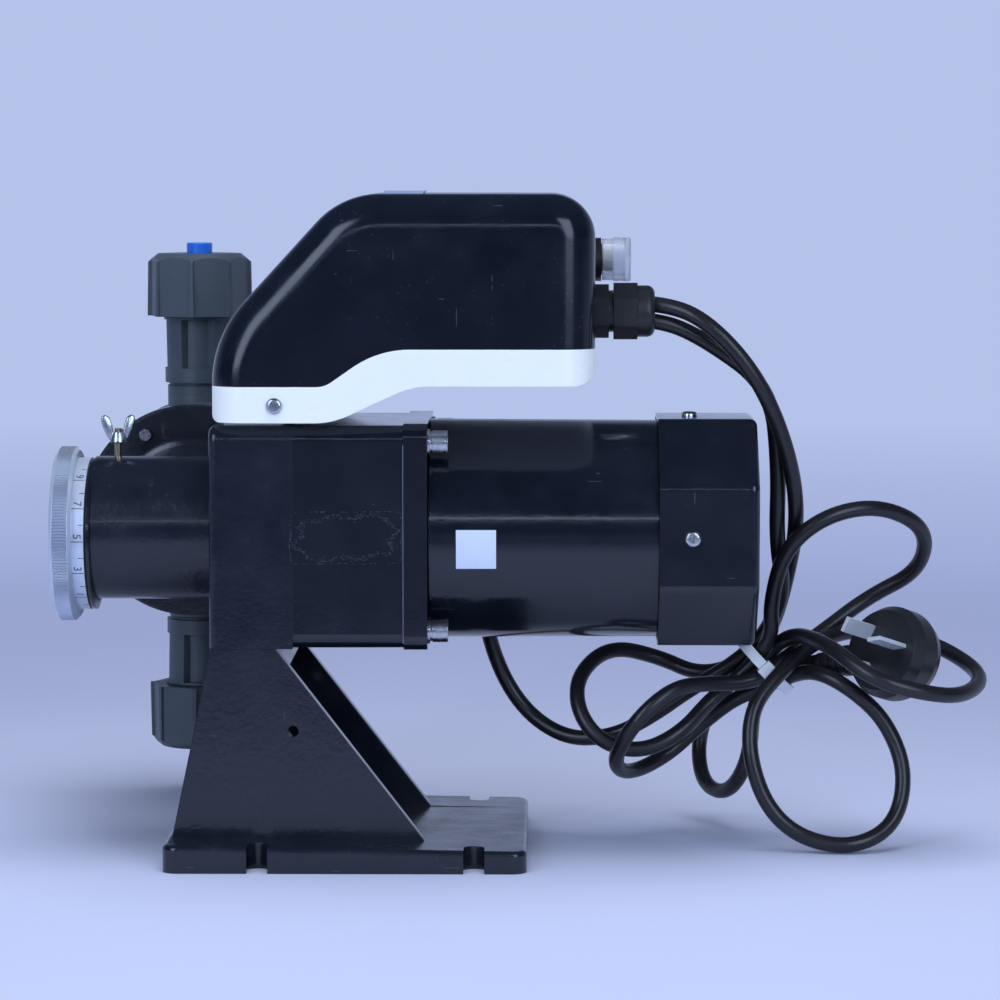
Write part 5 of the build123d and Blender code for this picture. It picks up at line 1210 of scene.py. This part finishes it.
@dataclass
class HandlingMarks:
    """Old tape residue on the near side, a bare film strip on the control box and a painted highlight
    line at the gear case's joint with the motor's shield.
    """

    near_face: float = -0.04502
    thickness: float = 0.00004
    band: tuple[float, float, float, float] = (-0.0222, 0.0224, 0.1222, 0.1432)
    rings: tuple[tuple[float, float, float, int], ...] = (
        (1.0, 16.0, 0.02, 190), (0.82, 4.0, 0.16, 460),
    )
    seed: int = 7
    fleck_length: tuple[float, float] = (0.00010, 0.00070)
    fleck_width: tuple[float, float] = (0.00006, 0.00016)
    fleck_lean: float = 0.9
    # painted highlight line: its width, its root on the near face and its height span
    bead: float = 0.00042
    bead_root: float = 0.0001
    bead_span: tuple[float, float] = (0.0900, 0.1700)
    film_span: tuple[float, float] = (0.0150, 0.0320)
    film_depth: tuple[float, float] = (-0.0340, -0.0150)
    film_height: float = 0.0011
    film_slants: tuple[float, float] = (0.0006, 0.0010)

    def build(self) -> None:
        """Makes the residue, the painted highlight line and the film strip."""
        for piece in (self.residue(), self.seam(), self.film()):
            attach(piece, "frame")
        log.info("handling marks made")

    def residue(self) -> bpy.types.Object:
        """Scatters the flecks that a strip of tape has left, in an outer and an inner ring.

        Returns:
            The residue.
        """
        left, right, low, high = self.band
        half_x, half_z = (right - left) / 2, (high - low) / 2
        draw = random.Random(self.seed)
        mesh = bmesh.new()
        for size, squareness, wander, flecks in self.rings:
            for _ in range(flecks):
                around = draw.uniform(0, 2 * math.pi)
                sway = 1 + wander * math.sin(3 * around + 1) * math.sin(5 * around)
                reach = (
                    abs(math.cos(around)) ** squareness + abs(math.sin(around)) ** squareness
                ) ** (1 / squareness)
                across, up = math.cos(around) / reach, math.sin(around) / reach
                x = (left + right) / 2 + half_x * size * sway * across + draw.gauss(0, wander / 300)
                z = (low + high) / 2 + half_z * size * sway * up + draw.gauss(0, wander / 300)
                length, width = draw.uniform(*self.fleck_length), draw.uniform(*self.fleck_width)
                shape = (length, self.thickness, width, 1.0)
                bmesh.ops.create_icosphere(
                    mesh, subdivisions=1, radius=1.0,
                    matrix=Matrix.Translation((x, self.near_face, z))
                    @ Matrix.Rotation(draw.uniform(-self.fleck_lean, self.fleck_lean), 4, "Y")
                    @ Matrix.Diagonal(shape),
                )
        return piece_from(mesh, "tape_residue", Surface.RESIDUE)

    def seam(self) -> bpy.types.Object:
        """Draws a pale strip between the gear case and the motor's shield: a painted highlight where
        the shield's edge catches the light.

        Returns:
            The bead.
        """
        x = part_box("gear_case")[1].x
        half = self.bead / 2
        root, crest = self.near_face + self.bead_root, self.near_face - half / 3
        outline = [
            (x + across, y, self.bead_span[0])
            for across, y in ((-half, root), (half, root), (half, crest), (-half, crest))
        ]
        # painted highlight: a pale strip where the shield's edge catches the light
        mesh = prism(outline, (0, 0, self.bead_span[1] - self.bead_span[0]))
        return piece_from(mesh, "painted_highlight_bead", Surface.FILM)

    def film(self) -> bpy.types.Object:
        """Lays the bare strip on top of the control box.

        Returns:
            The strip.
        """
        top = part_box("box_cover")[1].z
        start, end = self.film_span
        rise, (left, right) = top + self.film_height, self.film_slants
        outline = [
            (x, self.film_depth[0], z)
            for x, z in ((start, top), (end - right, top), (end, rise), (start + left, rise))
        ]
        mesh = prism(outline, (0, self.film_depth[1] - self.film_depth[0], 0))
        return piece_from(mesh, "bare_film_strip", Surface.FILM)


# ---------------------------------------------------------------- return spring and diaphragm


@dataclass
class FlexingPieces:
    """The return spring, carried by the plunger, and the diaphragm, cut into sectors."""

    stroke: float = 0.005
    sectors: int = 24
    clamped: float = 0.0290
    carried: float = 0.0225
    centre: tuple[float, float] = (-0.0740, AXIS_HEIGHT)

    def build(self) -> None:
        """Makes the spring on the plunger and the diaphragm in sectors."""
        self.spring()
        for place in range(self.sectors):
            self.sector(place)
        log.info("spring and diaphragm give way to the rod")

    def copied(self, name: str) -> bmesh.types.BMesh:
        """A copy of a CAD node's mesh, in the shared frame.

        Args:
            name: The node.

        Returns:
            The copy.
        """
        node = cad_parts[name]
        mesh = bmesh.new()
        mesh.from_mesh(node.data)
        bmesh.ops.transform(mesh, matrix=node.matrix_world, verts=mesh.verts)
        return mesh

    def spring(self) -> None:
        """Copies the spring and hangs it on the plunger."""
        piece = piece_from(self.copied("return_spring"), "flexing_spring", Surface.STEEL)
        smooth_by_angle(piece)
        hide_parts("return_spring")
        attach(piece, "plunger")
        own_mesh(piece)

    def sector(self, place: int) -> None:
        """Cuts one sector of the diaphragm.

        Args:
            place: Which sector, counted round the head's axis.
        """
        step = 2 * math.pi / self.sectors
        start, end = (place - 0.5) * step, (place + 0.5) * step
        x, z = self.centre
        mesh = self.copied("diaphragm")
        for normal in (
            (math.sin(start), 0.0, -math.cos(start)), (-math.sin(end), 0.0, math.cos(end)),
        ):
            bmesh.ops.bisect_plane(
                mesh, geom=mesh.verts[:] + mesh.edges[:] + mesh.faces[:], plane_co=(x, 0.0, z),
                plane_no=normal, clear_outer=True,
            )
            bmesh.ops.holes_fill(mesh, edges=mesh.edges, sides=0)
        piece = piece_from(mesh, f"diaphragm_sector_{place + 1}", Surface.RUBBER)
        smooth_by_angle(piece)
        if place == 0:
            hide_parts("diaphragm")
        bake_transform(piece)


# ---------------------------------------------------------------- dressing of the frame's nodes


def dress_nodes() -> None:
    """Gives every CAD node its finish."""
    for surface, names in NODE_SURFACES.items():
        for name in names:
            Paints.dress(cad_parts[name], surface)
            smooth_by_angle(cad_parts[name])
    log.info("nodes dressed: %d", sum(len(names) for names in NODE_SURFACES.values()))


def main() -> None:
    """Builds the pump's looks in order."""
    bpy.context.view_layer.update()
    Studio().build()
    CordSet().build()
    dress_nodes()
    ScaleDial().build()
    CrossScrews().build()
    WingNut().build()
    SignalSocket().build()
    MotorDress().build()
    HandlingMarks().build()
    FlexingPieces().build()


if __name__ == "__main__":
    main()
